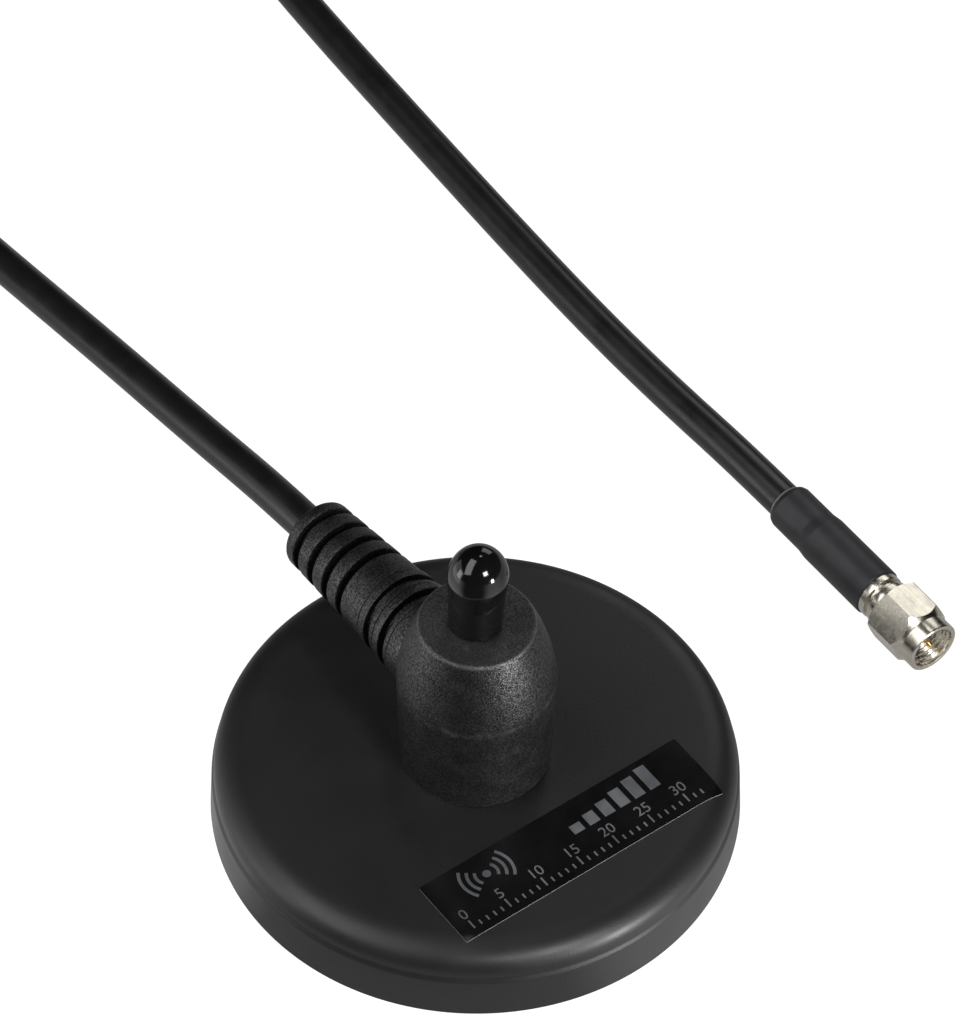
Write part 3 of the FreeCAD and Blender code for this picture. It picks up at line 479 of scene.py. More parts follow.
sleeve_film = finish("sleeve_film", (0.015, 0.0155, 0.018), 0.48, bumps=(1.3, 2.0, 0.02))
uneven_colour(sleeve_film, ranged(sleeve_film, grain(sleeve_film, 3.5), 0.3, 0.7, 0, 1),
              (0.010, 0.0105, 0.012), (0.020, 0.0205, 0.023))

label_film = finish("label_film", (0.0035,) * 3, 0.16,
                    gloss=(3.0, 3.0, 0.14, 0.20), bumps=(2.0, 1.0, 0.004))
tilt = own_place(label_film, "Normal")["Z"]
uneven_colour(label_film, ranged(label_film, tilt, 0.2, 0.75, 1, 0), (0.0035,) * 3, (0.22, 0.22, 0.21))

pad_rubber = finish("pad_rubber", (0.016,) * 3, 0.75,
                    tint=(4.0, 4.0, (0.012,) * 3, (0.022,) * 3), bumps=(0.5, 4.0, 0.05))
strap_nylon = finish("strap_nylon", (0.012,) * 3, 0.38,
                     gloss=(2.0, 3.0, 0.34, 0.46), bumps=(0.4, 2.0, 0.01))
seal_rubber = finish("seal_rubber", (0.03, 0.008, 0.006), 0.6, bumps=(0.2, 2.0, 0.01))
print("black finishes made")

# %% [markdown]
# The plug is nickel over brass, warm and a little dull from handling, with fine scratches across its
# flats. Its pin is gold. Inside sit brass, copper, a tinned braid, a ferrite ring and plated steel. A
# metal's colour is its reflection, so its base colour is pale and its roughness does the talking.

# %% Metals
nickel = finish("nickel", (0.66, 0.62, 0.53), 0.24, 1.0)
wear = grain(nickel, 1.6, 5.0, rough=0.65)
uneven_gloss(nickel, wear, 0.20, 0.34, 0.35)
scratches = grain(nickel, 0.5, 3.0, stretch=(1, 0.12, 1), rough=0.7)
uneven_colour(nickel, ranged(nickel, scratches, 0.35, 0.75, 0, 1), (0.70, 0.66, 0.57), (0.54, 0.50, 0.42))
relief(nickel, scratches, 0.002)

gold_plate = finish("gold_plate", (0.83, 0.58, 0.25), 0.2, 1.0, gloss=(0.5, 3.0, 0.15, 0.28))
copper = finish("copper", (0.72, 0.36, 0.22), 0.3, 1.0, gloss=(0.6, 3.0, 0.24, 0.4))
plated_steel = finish("plated_steel", (0.54, 0.54, 0.52), 0.3, 1.0, gloss=(0.8, 4.0, 0.22, 0.42),
                      tint=(5.0, 4.0, (0.48, 0.48, 0.46), (0.60, 0.60, 0.57)))
ferrite = finish("ferrite", (0.035, 0.035, 0.037), 0.55, bumps=(0.3, 3.0, 0.03),
                 tint=(0.6, 5.0, (0.025, 0.025, 0.027), (0.055, 0.055, 0.058)))

brass = finish("brass", (0.68, 0.50, 0.25), 0.28, 1.0)
uneven_gloss(brass, grain(brass, 1.0, stretch=(1, 1, 8)), 0.2, 0.38)

tinned_braid = finish("tinned_braid", (0.55, 0.54, 0.52), 0.38, 1.0)
weave = tinned_braid.node_tree.nodes.new("ShaderNodeTexWave")
weave.inputs["Scale"].default_value = 1 / (0.25 * MM)
weave.inputs["Distortion"].default_value = 1.5
weave_place = tinned_braid.node_tree.nodes.new("ShaderNodeTexCoord")
tinned_braid.node_tree.links.new(weave_place.outputs["Object"], weave.inputs["Vector"])
relief(tinned_braid, weave.outputs["Fac"], 0.08)
print("metals made")

# %% Light plastics
insulator_white = finish("insulator_white", (0.78, 0.77, 0.73), 0.35, bumps=(0.6, 2.0, 0.006),
                         tint=(1.5, 3.0, (0.74, 0.73, 0.69), (0.80, 0.79, 0.75)), Subsurface_Weight=0.1)
dielectric = finish("dielectric", (0.76, 0.77, 0.76), 0.3,
                    gloss=(1.0, 3.0, 0.25, 0.4), Subsurface_Weight=0.2)
spacer_grey = finish("spacer_grey", (0.16, 0.165, 0.17), 0.45, bumps=(0.4, 2.0, 0.012))

silver_print = finish("silver_print", (0.13, 0.135, 0.145), 0.36, 0.35)
uneven_colour(silver_print, ranged(silver_print, grain(silver_print, 3.0, 3.0), 0.35, 0.65, 0, 1),
              (0.10, 0.105, 0.115), (0.18, 0.185, 0.195))
glue_line = finish("glue_line", (0.30, 0.29, 0.24), 0.3,
                   tint=(0.8, 3.0, (0.16, 0.155, 0.13), (0.40, 0.39, 0.33)), Subsurface_Weight=0.2)
print("plastics made")


# %% Dressing a piece
def dressed(piece, material, body, slot, *nodes):
    """Gives a piece its finish, its body and the solids that it stands for. The slot is not used."""
    piece.data.materials.clear()
    piece.data.materials.append(material)
    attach(piece, body)
    if nodes:
        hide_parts(*nodes)
    count = len(piece.data.polygons) if piece.type == "MESH" else 0
    print(piece.name, "on", body, count, "faces")
    return piece


# %% [markdown]
# The cover is one moulding: a slightly leaning wall, a fine ledge where the two halves of its mould
# met, and a broad rounded shoulder. It is a plain turned shape, and its look depends on the arcs of
# its edges. The ledge and the foot get tiny arcs, and the shoulder a wide one with many steps.

# %% The cover
COVER_TOP, RIM = 10.6, 32.9
SHOULDER_IN, SHOULDER_DOWN, SHOULDER_FULL = 4.3, 3.5, 2.35


def cover_height(x, y):
    """Height of the cover's top at a place. The shoulder starts gently, as a softened corner does."""
    past = max(math.hypot(x, y) - (RIM - SHOULDER_IN), 0.0) / SHOULDER_IN
    drop = 1 - (1 - min(past, 1.0) ** SHOULDER_FULL) ** (1 / SHOULDER_FULL)
    return COVER_TOP - SHOULDER_DOWN * drop


shoulder = []
for step in range(1, 33):
    angle = math.pi / 2 * step / 32
    radius = RIM - SHOULDER_IN + SHOULDER_IN * math.sin(angle) ** (2 / SHOULDER_FULL)
    height = COVER_TOP - SHOULDER_DOWN + SHOULDER_DOWN * max(math.cos(angle), 0.0) ** (2 / SHOULDER_FULL)
    shoulder.append((radius, height))
cover_outline = rounded([
    (6.1, 9.0), (31.2, 9.0, 0.6), (31.6, 7.0, 0.6), (31.6, 0.3, 0.15), (33.5, 0.3, 0.3),
    (33.2, 6.35, 0.8), (RIM, 7.0, 0.8),
] + shoulder[-3::-1] + [(RIM - SHOULDER_IN, COVER_TOP), (6.1, COVER_TOP)], steps=8)
cover = dressed(smooth(turned("cover", cover_outline, segments=256)), cover_plastic, "base",
                "satin_black_plastic", "base_cover")

# %% [markdown]
# The neck and its strain relief are one rubber moulding. The relief is turned about its own axis,
# which droops by 6.5 degrees, with four deep ring grooves that let it bend and three fine step lines.
# Two solids are joined, and the hollow and the cable's passage are cut out. Each rib gets rounded
# edges, as rubber leaves the mould.

# %% The neck's outline
NECK_TOP = 35.4
neck_shoulder = bowed((9.95, 25.7), (7.15, NECK_TOP), 32.0)
neck_outline = rounded(
    [(0, 10.6), (9.5, 10.6, 0.2), (9.95, 25.7)] + neck_shoulder + [(7.15, NECK_TOP, 0.45), (0, NECK_TOP)],
    steps=6, closed=False)
neck = turned("neck", neck_outline, segments=160, closed=False)

# %% The relief's outline
RELIEF_HEIGHT, REACH = 23.05, 34.6
relief_frame = axis_frame((0, 0, RELIEF_HEIGHT), (0, math.cos(DROOP), -math.sin(DROOP)))


def relief_radius(distance):
    """Radius of the relief at a distance from its end, without its grooves."""
    stretches = ((0.5, 4.92, 13.3, 5.5), (13.3, 5.5, 17.25, 5.65), (17.25, 5.85, 20.6, 5.9),
                 (20.6, 6.10, 24.0, 6.15), (24.0, 6.35, 30.0, 6.35))
    for start, low, end, high in stretches:
        if distance <= end:
            return low + (high - low) * (distance - start) / (end - start)
    return 6.35


def groove(start, width, floor, edge):
    """The four corners of a ring groove, given as distances from the relief's end."""
    return [(relief_radius(start), start, edge), (floor, start, edge), (floor, start + width, edge),
            (relief_radius(start + width), start + width, edge)]


relief_corners = [(0, 0), (4.92, 0, 0.5)]
for number in range(4):
    relief_corners += groove(1.85 + 3.36 * number, 1.2, 3.7, 0.18)
relief_corners += [(5.5, 13.3), (5.65, 17.05, 0.06), (5.42, 17.25, 0.04), (5.85, 17.4, 0.07)]
relief_corners += groove(18.6, 1.15, 5.1, 0.12)
relief_corners += [(5.9, 20.4, 0.06), (5.67, 20.6, 0.04), (6.10, 20.75, 0.07)]
relief_corners += groove(21.96, 1.15, 5.1, 0.12)
relief_corners += [(6.15, 23.8, 0.06), (5.95, 24.0, 0.04), (6.35, 24.15, 0.07), (6.35, 28.4), (0, 28.4)]
relief_outline = [(r, REACH - d) for r, d in rounded(relief_corners, steps=4, closed=False)]
relief_piece = turned("relief", relief_outline, relief_frame, segments=128, closed=False)

# %% Neck and relief in one
hollow = [(0, 9.0), (8.1, 9.0), (8.1, 12.3), (6.3, 12.3), (6.3, 28.1), (4.2, 28.1), (4.2, 33.6),
          (2.6, 33.6), (2.6, 37.0), (0, 37.0)]
worked(neck, relief_piece, "UNION")
worked(neck, turned("hollow", hollow, segments=96, closed=False), "DIFFERENCE")
passage = turned("passage", [(0, 0), (2.575, 0), (2.575, 36.0), (0, 36.0)], relief_frame, 64, False)
worked(neck, passage, "DIFFERENCE")
dressed(smooth(neck, 40), neck_rubber, "base", "soft_black_rubber", "neck_boot")

# %% [markdown]
# A glossy vinyl cap covers the stud that the whip screws onto. It was dipped, so its end is a clean
# dome, its wall swells towards the end, and it sits a little crooked on its thread. The turned shape
# gets that lean by moving its outer points sideways in proportion to their height, which leaves the
# bore on the stud.

# %% The cap
CAP_BORE, BORE_TOP, DOME_RADIUS, DOME_FOOT, DOME_RISE = 2.55, 45.75, 3.75, 44.0, 4.35
cap_outline = rounded([(CAP_BORE, BORE_TOP), (CAP_BORE, 35.6), (3.40, 35.6, 0.12), (3.45, 38.6),
                       (3.55, 41.0), (3.70, 43.0), (DOME_RADIUS, DOME_FOOT)], 4, False)
for number in range(1, 28):
    angle = math.pi / 2 * number / 28
    cap_outline.append((DOME_RADIUS * math.cos(angle), DOME_FOOT + DOME_RISE * math.sin(angle)))
cap = turned("cap_shell", cap_outline + [(0, 48.35), (0, BORE_TOP)], segments=96)
LEAN, UPRIGHT_AT, LEAN_WAY = 0.03, 38.0, Vector((0.80, -0.60, 0))
for vertex in cap.data.vertices:
    if math.hypot(vertex.co.x, vertex.co.y) > (CAP_BORE + 0.05) * MM or vertex.co.z > (BORE_TOP + 0.05) * MM:
        lean = (vertex.co.z / MM - UPRIGHT_AT) * LEAN - 0.1
        vertex.co += LEAN_WAY * lean * MM
dressed(smooth(cap, 50), cap_vinyl, "cap", "gloss_black_vinyl", "stud_cap")

# %% [markdown]
# A screw thread is a ridge that climbs one pitch in each turn. Geometry Nodes can make it from a
# smooth turned piece: the angle round the axis, taken from the height in pitches, says how far each
# point is from the crest, and the point moves in or out by that. The ridge fades at both ends, as it
# does where a die starts and stops.

# %% The start and the end of a tree of geometry nodes
def new_tree(name, **sockets):
    """A tree whose inputs are a geometry, the named ones and a finish, and what these give."""
    tree = bpy.data.node_groups.new(name, "GeometryNodeTree")
    for socket, kind in {"Geometry": "Geometry", **sockets, "Finish": "Material"}.items():
        tree.interface.new_socket(socket, in_out="INPUT", socket_type="NodeSocket" + kind)
    tree.interface.new_socket("Geometry", in_out="OUTPUT", socket_type="NodeSocketGeometry")
    return tree, tree.nodes.new("NodeGroupInput").outputs


def ended_tree(tree, shape, material):
    """The tree, which now gives out the shape as plain geometry with a finish."""
    link = tree.links.new
    real = tree.nodes.new("GeometryNodeRealizeInstances")
    link(shape, real.inputs[0])
    paint = tree.nodes.new("GeometryNodeSetMaterial")
    link(real.outputs[0], paint.inputs["Geometry"])
    link(material, paint.inputs["Material"])
    link(paint.outputs[0], tree.nodes.new("NodeGroupOutput").inputs[0])
    return tree


# %% A node tree that cuts a thread
ROOT_FLAT, CREST_FLAT = 0.12, 0.85


def thread_tree():
    """Moves the points of a turned piece into a thread between two heights."""
    tree, given = new_tree("cut_thread", Pitch="Float", Depth="Float", Start="Float", End="Float")
    add = tree.nodes.new
    link = tree.links.new

    def step(operation, *values):
        return sums(tree, operation, *values)

    x, y, z = parts_of(tree, add("GeometryNodeInputPosition").outputs[0])
    angle = step("DIVIDE", step("ARCTAN2", y, x), 2 * math.pi)
    climbed = step("FRACT", step("SUBTRACT", step("DIVIDE", z, given["Pitch"]), angle))
    ridge = step("ABSOLUTE", step("SUBTRACT", step("MULTIPLY", climbed, 2.0), 1.0))
    flank = spread(tree, ridge, ROOT_FLAT, CREST_FLAT, 0.0, 1.0)
    fade = []
    for edge, sign in (("Start", 1), ("End", -1)):
        past = step("MULTIPLY", step("SUBTRACT", z, given[edge]), sign)
        share = step("DIVIDE", past, given["Pitch"])
        fade.append(step("MINIMUM", step("MAXIMUM", share, 0.0), 1.0))
    amount = step("MULTIPLY", step("MULTIPLY", *fade), given["Depth"])
    unit = add("ShaderNodeVectorMath")
    unit.operation = "NORMALIZE"
    link(vector(tree, x, y), unit.inputs[0])
    shift = add("ShaderNodeVectorMath")
    shift.operation = "SCALE"
    link(unit.outputs[0], shift.inputs[0])
    link(step("MULTIPLY", amount, step("SUBTRACT", flank, 1.0)), shift.inputs["Scale"])
    move = add("GeometryNodeSetPosition")
    link(given["Geometry"], move.inputs["Geometry"])
    link(shift.outputs[0], move.inputs["Offset"])
    return ended_tree(tree, move.outputs[0], given["Finish"])


def by_nodes(piece, tree, **values):
    """Runs a node tree on a piece with the named values, and keeps the plain result."""
    step = piece.modifiers.new("made", "NODES")
    step.node_group = tree
    for socket in tree.interface.items_tree:
        if socket.in_out == "INPUT" and socket.name in values:
            step[socket.identifier] = values[socket.name]
    return plain(piece)


cut_thread = thread_tree()


def threaded_rod(name, radius, start, end, pitch, depth, before, after, finish_of, segments=96):
    """A turned rod whose outline has close rings where the thread goes."""
    count = int((end - start) / pitch * 12)
    rings = [(radius, start + (end - start) * n / count) for n in range(count + 1)]
    rod = turned(name, before + rings + after, segments=segments, closed=False)
    return by_nodes(rod, cut_thread, Pitch=pitch * MM, Depth=depth * MM, Start=start * MM, End=end * MM,
                    Finish=finish_of)


# %% The whip's stud
stud = threaded_rod("threaded_stud", 2.5, 35.0, 44.8, 0.8, 0.42,
                    [(0, 23.65), (2.5, 23.65), (2.5, 28.05), (3.3, 28.05), (3.3, 30.05), (2.5, 30.05)],
                    [(1.9, 45.4), (0, 45.4)], plated_steel)
dressed(smooth(stud, 50), plated_steel, "base", "plated_steel", "whip_stud")

# %% [markdown]
# The label is a thin glossy film stuck on the cover in front of the neck. One of its corners passes
# over the rounded shoulder and bends down with it. A fine grid takes the cover's height at each
# point, a second sheet below gives it thickness, and a rounded frame trims its corners.

# %% The label's film
LABEL_LOW, LABEL_HIGH = (-18.65, -23.6), (20.85, -13.6)


def sheet_on_cover(name, low, high, columns, rows, bottom, top):
    """A solid sheet that follows the cover, from bottom to top above it."""
    work = bmesh.new()
    layers = []
    for lift in (bottom, top):
        grid = []
        for row in range(rows + 1):
            y = low[1] + (high[1] - low[1]) * row / rows
            xs = [low[0] + (high[0] - low[0]) * column / columns for column in range(columns + 1)]
            grid.append([work.verts.new((x * MM, y * MM, (cover_height(x, y) + lift) * MM)) for x in xs])
        layers.append(grid)
    for grid in layers:
        for row in range(rows):
            for column in range(columns):
                work.faces.new((grid[row][column], grid[row][column + 1],
                                grid[row + 1][column + 1], grid[row + 1][column]))
    rims = [edge for edge in work.edges if edge.is_boundary]
    bmesh.ops.bridge_loops(work, edges=rims)
    bmesh.ops.recalc_face_normals(work, faces=work.faces)
    return made(name, work)


def prism(name, corners, bottom, top):
    """An upright prism on an outline in millimetres."""
    work = bmesh.new()
    floor_ring = [work.verts.new((x * MM, y * MM, bottom * MM)) for x, y in corners]
    face = work.faces.new(floor_ring)
    risen = bmesh.ops.extrude_face_region(work, geom=[face])
    lifted = [v for v in risen["geom"] if isinstance(v, bmesh.types.BMVert)]
    bmesh.ops.translate(work, verts=lifted, vec=(0, 0, (top - bottom) * MM))
    bmesh.ops.recalc_face_normals(work, faces=work.faces)
    return made(name, work)


def soft_rectangle(low, high, radius):
    """A rectangle with rounded corners, given by its low and its high corner."""
    corners = (low, (high[0], low[1]), high, (low[0], high[1]))
    return rounded([(x, y, radius) for x, y in corners])


label = sheet_on_cover("label", (LABEL_LOW[0] - 1, LABEL_LOW[1] - 1), (LABEL_HIGH[0] + 1, LABEL_HIGH[1] + 1),
                       82, 24, 0.0, 0.12)
label_frame = prism("label_frame", soft_rectangle(LABEL_LOW, LABEL_HIGH, 0.2), 5, 15)
worked(label, label_frame, "INTERSECT")
dressed(smooth(label), label_film, "base", "label_film", "label_plate")

# %% [markdown]
# The label carries a plain print: a mark of radio waves, bars that grow, and a scale with marks and
# numbers. The marks repeat, so a node tree sets them out: a row of points, a bar on each, and every
# fifth bar longer. All of it is a hair thicker than nothing, because ink on a film has no height that
# one could feel.

# %% A node tree that sets out a row of bars
def bar_row_tree():
    """A row of flat bars along X, each longer by Growth, and every fifth one longer by Extra."""
    measures = dict.fromkeys(("Step", "Width", "Length", "Growth", "Extra", "Thickness"), "Float")
    tree, given = new_tree("row_of_bars", Count="Int", **measures, Start="Vector")
    add = tree.nodes.new
    link = tree.links.new

    def step(operation, *values):
        return sums(tree, operation, *values)

    row = add("GeometryNodeMeshLine")
    link(given["Count"], row.inputs["Count"])
    link(given["Start"], row.inputs["Start Location"])
    link(vector(tree, given["Step"]), row.inputs["Offset"])
    order = add("GeometryNodeInputIndex").outputs[0]
    fifth = step("LESS_THAN", step("MODULO", order, 5.0), 0.5)
    grown = step("ADD", given["Length"], step("MULTIPLY", order, given["Growth"]))
    length = step("ADD", grown, step("MULTIPLY", fifth, given["Extra"]))
    raised = add("GeometryNodeSetPosition")
    link(row.outputs[0], raised.inputs["Geometry"])
    link(vector(tree, 0.0, step("MULTIPLY", length, 0.5)), raised.inputs["Offset"])
    bar = add("GeometryNodeMeshCube")
    bar.inputs["Size"].default_value = (1, 1, 1)
    bars = add("GeometryNodeInstanceOnPoints")
    link(raised.outputs[0], bars.inputs["Points"])
    link(bar.outputs[0], bars.inputs["Instance"])
    link(vector(tree, given["Width"], length, given["Thickness"]), bars.inputs["Scale"])
    return ended_tree(tree, bars.outputs[0], given["Finish"])


row_of_bars = bar_row_tree()
PRINT_LEVEL, PRINT_THICK = COVER_TOP + 0.12, 0.02


def printed_row(name, x, y, count, step, width, length, growth=0.0, extra=0.0):
    """A row of printed bars on the label, with its first bar's foot at a place in millimetres."""
    row = new_piece(name, bpy.data.meshes.new(name))
    by_nodes(row, row_of_bars, Count=count, Step=step * MM, Width=width * MM, Length=length * MM,
             Growth=growth * MM, Extra=extra * MM, Thickness=PRINT_THICK * MM,
             Start=(x * MM, y * MM, PRINT_LEVEL * MM), Finish=silver_print)
    return dressed(row, silver_print, "base", "label_film")


MARKS_START, MARK_STEP = -16.6, 1.1
printed_row("print_marks", MARKS_START, -22.5, 33, MARK_STEP, 0.24, 0.75, extra=0.65)
printed_row("print_bars", 2.6, -18.3, 6, 2.35, 1.6, 1.4, growth=0.48)

# %% The printed wave mark and the scale's numbers
def printed_shape(name, corners):
    """A flat printed shape on the label, with corners in millimetres."""
    shape = prism(name, corners, PRINT_LEVEL - PRINT_THICK / 2, PRINT_LEVEL + PRINT_THICK / 2)
    return dressed(shape, silver_print, "base", "label_film")


def arc_band(name, centre, radius, width, first, last):
    """A printed arc between two angles in degrees."""
    outside = []
    inside = []
    for step in range(17):
        angle = math.radians(first + (last - first) * step / 16)
        way = Vector((math.cos(angle), math.sin(angle)))
        outside.append(tuple(Vector(centre) + way * (radius + width / 2)))
        inside.append(tuple(Vector(centre) + way * (radius - width / 2)))
    return printed_shape(name, outside + inside[::-1])


WAVE_MIDDLE, DOT_RADIUS, WAVE_WIDTH, HALF_WAVE = (-10.6, -16.7), 0.55, 0.42, 38
dot_angles = [math.pi / 12 * n for n in range(24)]
printed_shape("print_dot", [(WAVE_MIDDLE[0] + DOT_RADIUS * math.cos(angle),
                             WAVE_MIDDLE[1] + DOT_RADIUS * math.sin(angle)) for angle in dot_angles])
for number, wave_radius in enumerate((1.5, 2.5, 3.5)):
    for side, middle in (("right", 0), ("left", 180)):
        arc_band("print_wave_%s_%d" % (side, number), WAVE_MIDDLE, wave_radius, WAVE_WIDTH,
                 middle - HALF_WAVE, middle + HALF_WAVE)


def printed_number(text, x, y, height):
    """A plain printed number whose foot is centred on a place of the label."""
    words = bpy.data.curves.new("print_number_" + text, "FONT")
    words.body = text
    words.size = height * 1.35 * MM
    words.align_x = "CENTER"
    words.extrude = PRINT_THICK / 2 * MM
    words.resolution_u = 4
    piece = new_piece("print_number_" + text, words)
    mesh = worked_mesh(piece)
    bpy.data.objects.remove(piece)
    mesh.transform(Matrix.Translation((x * MM, y * MM, PRINT_LEVEL * MM)))
    return dressed(new_piece("print_number_" + text, mesh), silver_print, "base", "label_film")


for number in range(7):
    printed_number(str(number * 5), MARKS_START + 5 * MARK_STEP * number, -20.75, 1.6)

# %% [markdown]
# The plug's nut is a hexagon with turned chamfers, a round barrel in front and a thread inside. It is made
# as a machinist would: turn a blank with the barrel on it, mill six flats, and run a tap into the bore. The
# tap is the threaded rod from before, so the ridge inside is a true helix.

# %% The coupling nut
PLUG = axis_frame((59.9, 12.25, 4.65), (0, -1, 0))
NUT = PLUG @ Matrix.Rotation(math.radians(-8.4), 4, "Z")
FLAT, CORNER = 4.0, 8.0 / math.sqrt(3)
nut_blank = rounded([(0, 21.7), (FLAT, 21.7, 0.1), (CORNER, 22.2), (CORNER, 26.7), (3.7, 28.0, 0.25),
                     (3.7, 30.1, 0.2), (0, 30.1)], 4, False)
nut = turned("nut_shell", nut_blank, segments=144, closed=False)
hexagon = rounded([(CORNER * math.cos(math.pi / 3 * n), CORNER * math.sin(math.pi / 3 * n), 0.3)
                   for n in range(6)], 4)
worked(nut, prism("six_flats", hexagon, 20.0, 31.0), "INTERSECT")
tap = threaded_rod("tap", 3.06, 22.4, 30.0, 0.7056, 0.28,
                   [(0, 21.0), (2.65, 21.0), (2.65, 22.4)], [(3.3, 30.1), (3.3, 31.0), (0, 31.0)], nickel)
worked(nut, tap, "DIFFERENCE")
nut.data.transform(NUT)
dressed(smooth(nut, 24), nickel, "nut", "nickel", "coupling_nut")

# %% The plug's body
body_outline = rounded([
    (1.525, 10.2), (1.95, 10.2), (1.95, 18.6), (3.25, 18.6, 0.12), (3.25, 19.7, 0.12), (2.8, 19.7, 0.05),
    (2.8, 20.4, 0.05), (3.25, 20.4, 0.12), (3.25, 21.5, 0.12), (2.6, 21.5), (2.6, 22.45), (2.3, 22.45),
    (2.3, 22.95), (2.6, 22.95), (2.6, 23.15), (2.3, 23.15), (2.3, 27.3, 0.06), (2.075, 27.3, 0.04),
    (2.075, 19.3), (1.525, 19.3),
], 4)
plug_shell = turned("plug_shell", body_outline, PLUG, segments=96)
dressed(smooth(plug_shell), nickel, "base", "nickel", "plug_body")

# %% The shrunk sleeve
sleeve_outline = rounded([
    (2.525, 0.15), (2.75, 0, 0.1), (3.05, 0.05, 0.2), (3.25, 0.7, 0.4), (3.25, 6.0, 1.5), (3.45, 7.4, 1.5),
    (3.45, 18.6, 0.15), (2.95, 18.6), (2.95, 7.15), (2.525, 7.15),
], 6)
sleeve = turned("shrunk_sleeve", sleeve_outline, PLUG, segments=96)
dressed(smooth(sleeve, 50), sleeve_film, "base", "shrink_tube", "heat_shrink")
glue_corners = [(2.46, -0.5), (2.56, -0.45), (2.80, -0.02, 0.1), (2.80, 0.2), (2.46, 0.2)]
glue = turned("sleeve_glue", rounded(glue_corners, 3), PLUG, segments=64)
dressed(smooth(glue, 50), glue_line, "base", "clear_white")

# %% [markdown]
# A nylon cable tie holds the stored coil: a flat band pulled tight round all the turns, with a square
# head on top. It is a stand-in for storage, outside the photograph. For each direction the band
# touches the cable that lies farthest that way, which is what a tight band does.

# %% The strap
def tight_band(name, centres, inner, outer, width, centre_x, steps=96):
    """A flat band round points of the YZ plane, at distances from them, all in millimetres."""
    inside = []
    outside = []
    for step in range(steps):
        angle = 2 * math.pi * step / steps
        way = Vector((math.cos(angle), math.sin(angle)))
        farthest = max(centres, key=way.dot)
        inside.append(farthest + way * inner)
        outside.append(farthest + way * outer)
    work = bmesh.new()
    rings = []
    for x, loop in ((-width / 2, outside), (width / 2, outside), (width / 2, inside), (-width / 2, inside)):
        rings.append([work.verts.new(((centre_x + x) * MM, p[0] * MM, p[1] * MM)) for p in loop])
    for one, two in zip(rings, rings[1:] + rings[:1]):
        for n in range(steps):
            m = (n + 1) % steps
            work.faces.new((one[n], one[m], two[m], two[n]))
    bmesh.ops.recalc_face_normals(work, faces=work.faces)
    return made(name, work)


passes = []
for a, b in zip(cable_line, cable_line[1:]):
    if (a.x / MM - COIL_X) * (b.x / MM - COIL_X) <= 0 and a.y / MM > COIL_Y and a.x != b.x:
        there = a.lerp(b, (COIL_X * MM - a.x) / (b.x - a.x)) / MM
        passes.append(Vector((there.y, there.z)))
print("the strap holds", len(passes), "turns")
strap = tight_band("coil_strap", passes, CABLE / 2, CABLE / 2 + 0.9, 4.0, COIL_X)
head = prism("strap_head", soft_rectangle((COIL_X - 3.2, 238.0), (COIL_X + 3.2, 243.5), 0.6), 21.7, 26.0)
worked(strap, head, "UNION")
strap_edges = strap.modifiers.new("soft_edges", "BEVEL")
strap_edges.width = 0.15 * MM
strap_edges.segments = 2
strap_edges.limit_method = "ANGLE"
dressed(smooth(plain(strap)), strap_nylon, "base", "strap", "coil_tie")

# %% [markdown]
# The solids that already have their right shape keep it and only get a finish. Most of them are
# inside, and are seen when the cap is off, from below, or in the plug's mouth.

# %% Finishes for the other solids
FINISHES = {
    "bottom_pad": pad_rubber, "yoke_cup": plated_steel, "ring_magnet": ferrite, "magnet_spacer": spacer_grey,
    "lock_washer": plated_steel, "fixing_screw": plated_steel, "mast_bush": brass,
    "stud_insulator": insulator_white, "lead_jacket": jacket_vinyl, "feed_braid": tinned_braid,
    "feed_dielectric": dielectric, "feed_wire": copper, "crimp_ferrule": nickel, "tail_braid": tinned_braid,
    "tail_dielectric": dielectric, "plug_insulator": insulator_white, "plug_pin": gold_plate,
    "nut_clip": brass, "plug_gasket": seal_rubber,
}
for node, material in FINISHES.items():
    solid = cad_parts[node]
    if not solid.material_slots:
        solid.data.materials.append(material)
    for place_of in solid.material_slots:
        place_of.material = material
print("finished", len(FINISHES), "solids")

# %% The cable gets its finish, hangs on the base and stands for the lead's solids
cable.data.materials.append(jacket_vinyl)
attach(cable, "base")
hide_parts("coax_lead", "coax_coil", "coax_tail")

# %% [markdown]
# The studio is a white table under soft boxes. To the camera and to reflections the table is white by
# its own colour, through Light Path, so the lamps stay low and the shadow under the object stays soft
# and faint. Towards the place of the camera's stand the table is dark in reflections, which parts the
# two light zones on the neck and on the cap. Seen from below, the table lets the view pass, so that
# the pad can be looked at.

# %% How bright the studio is on each side
DARK_BEARING = -142.0


def side_brightness(tree, x, y):
    """Dark towards the camera's stand, full beside it, and a little less all the way round the back."""
    bearing = sums(tree, "ARCTAN2", y, x)
    off = sums(tree, "ABSOLUTE", sums(tree, "SUBTRACT", bearing, math.radians(DARK_BEARING)))
    off = sums(tree, "MINIMUM", off, sums(tree, "SUBTRACT", 2 * math.pi, off))
    rise = spread(tree, off, math.radians(24), math.radians(56), 0.02, 1.0, soft=True)
    fall = spread(tree, off, math.radians(68), math.radians(116), 1.0, 0.46, soft=True)
    return sums(tree, "MULTIPLY", rise, fall)


# %% The table
WHITE, FAINT, UNDER_BASE, BESIDE_BASE = 0.92, 0.30, 33 * MM, 40 * MM


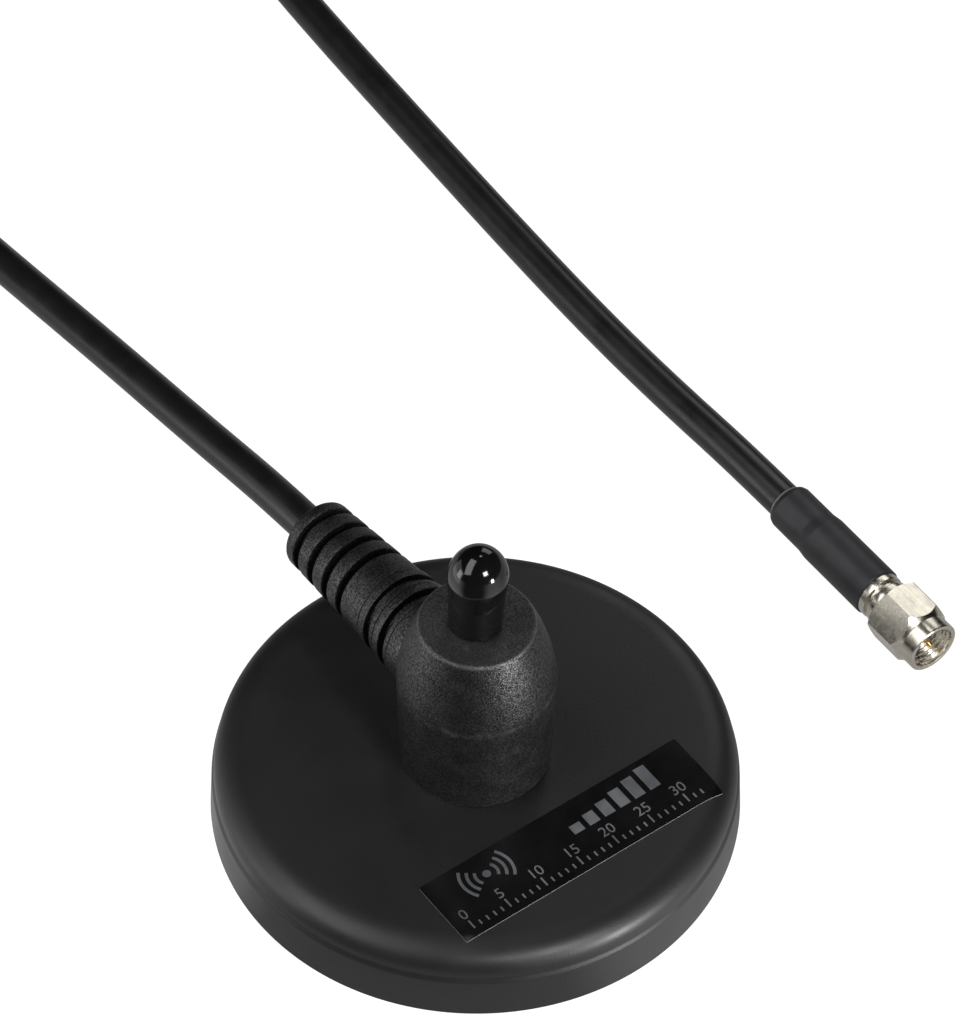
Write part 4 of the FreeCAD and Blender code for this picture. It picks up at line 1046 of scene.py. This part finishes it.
def table_finish():
    """White by its own colour to the camera and to reflections, and plain matt white to all other light."""
    material = bpy.data.materials.new("white_table")
    material.use_nodes = True
    tree = material.node_tree
    tree.nodes.clear()
    add = tree.nodes.new
    link = tree.links.new
    paths = add("ShaderNodeLightPath").outputs
    where = add("ShaderNodeTexCoord").outputs["Object"]
    x, y = parts_of(tree, where)[:2]
    reach = add("ShaderNodeVectorMath")
    reach.operation = "LENGTH"
    link(where, reach.inputs[0])
    far = reach.outputs["Value"]
    brightness = side_brightness(tree, x, y)
    brightness = sums(tree, "MAXIMUM", brightness, spread(tree, far, BESIDE_BASE, 52 * MM, 0.45, 0.0))
    shade = sums(tree, "MULTIPLY", sums(tree, "LESS_THAN", far, UNDER_BASE), 0.6)
    brightness = sums(tree, "MINIMUM", brightness, sums(tree, "SUBTRACT", 1.0, shade))
    brightness = sums(tree, "MAXIMUM", brightness, paths["Is Camera Ray"])

    glow = add("ShaderNodeEmission")
    link(sums(tree, "MULTIPLY", brightness, WHITE), glow.inputs["Strength"])
    faint = add("ShaderNodeBsdfDiffuse")
    link(sums(tree, "MULTIPLY", paths["Is Camera Ray"], FAINT), faint.inputs["Color"])
    both = feed(tree, add("ShaderNodeAddShader"), faint.outputs[0], glow.outputs[0])
    matt = add("ShaderNodeBsdfDiffuse")
    matt.inputs["Color"].default_value = (0.8, 0.8, 0.8, 1)
    seen = sums(tree, "MAXIMUM", paths["Is Camera Ray"], paths["Is Glossy Ray"])
    seen = sums(tree, "MAXIMUM", seen, paths["Is Transmission Ray"])
    from_below = add("ShaderNodeNewGeometry").outputs["Backfacing"]
    shown = feed(tree, add("ShaderNodeMixShader"), seen, matt.outputs[0], both)
    clear = add("ShaderNodeBsdfTransparent").outputs[0]
    shown = feed(tree, add("ShaderNodeMixShader"), from_below, shown, clear)
    link(shown, add("ShaderNodeOutputMaterial").inputs[0])
    return material


TABLE_LEVEL = -0.05
table = turned("table", [(r, TABLE_LEVEL) for r in (0, 400, 1500, 6000)], segments=64, closed=False)
if table.data.polygons[0].normal.z < 0:
    table.data.flip_normals()
table.data.materials.append(table_finish())

# %% The sky
world = bpy.data.worlds.new("studio")
bpy.context.scene.world = world
world.use_nodes = True
sky = world.node_tree
x, y, z = parts_of(sky, sky.nodes.new("ShaderNodeTexCoord").outputs["Generated"])
fall = spread(sky, z, 0.02, 0.40, WHITE, 0.12, soft=True)
glow = sums(sky, "MULTIPLY", fall, side_brightness(sky, x, y))
glow = sums(sky, "MAXIMUM", glow, sky.nodes.new("ShaderNodeLightPath").outputs["Is Camera Ray"])
sky.links.new(glow, sky.nodes["Background"].inputs["Strength"])

# %% The soft boxes
def soft_box(name, direction, distance, width, height, power, along=None, aim=(0, 0, 30)):
    """A lamp that faces a millimetre point from a direction, with its width along a direction."""
    lamp = bpy.data.lights.new(name, "AREA")
    lamp.shape = "RECTANGLE"
    lamp.size = width
    lamp.size_y = height
    lamp.energy = power
    holder = new_piece(name, lamp)
    way = Vector(direction).normalized()
    side = Vector(along) if along else Vector((0, 0, 1)).cross(way)
    side = (side - way * side.dot(way)).normalized()
    holder.matrix_world = Matrix.Translation(Vector(aim) * MM + way * distance) @ Matrix(
        (side, way.cross(side), way)).transposed().to_4x4()
    holder.visible_camera = False


PLUG_PLACE = (60, -13, 5)
soft_box("front_box", (-0.05, -0.79, 0.60), 0.8, 0.24, 0.18, 4.0)
soft_box("front_lamp", (0.26, -0.96, 0.05), 0.8, 0.13, 0.13, 5.6)
soft_box("left_strip", (-0.62, 0.16, 0.77), 0.9, 0.95, 0.46, 4.7, along=(0.977, 0.441, 0.559))
soft_box("low_left_box", (-0.88, 0.46, 0.07), 0.9, 0.30, 0.40, 1.4)
soft_box("top_lamp", (0.29, 0.25, 0.92), 0.9, 0.12, 0.12, 0.22)
soft_box("plug_top_card", (0.59, 0.52, 0.62), 0.26, 0.13, 0.13, 0.086, aim=PLUG_PLACE)
soft_box("plug_side_card", (-0.83, 0.52, 0.20), 0.20, 0.14, 0.10, 0.036, aim=PLUG_PLACE)
bpy.context.scene.view_settings.view_transform = "Standard"
print("studio lit")
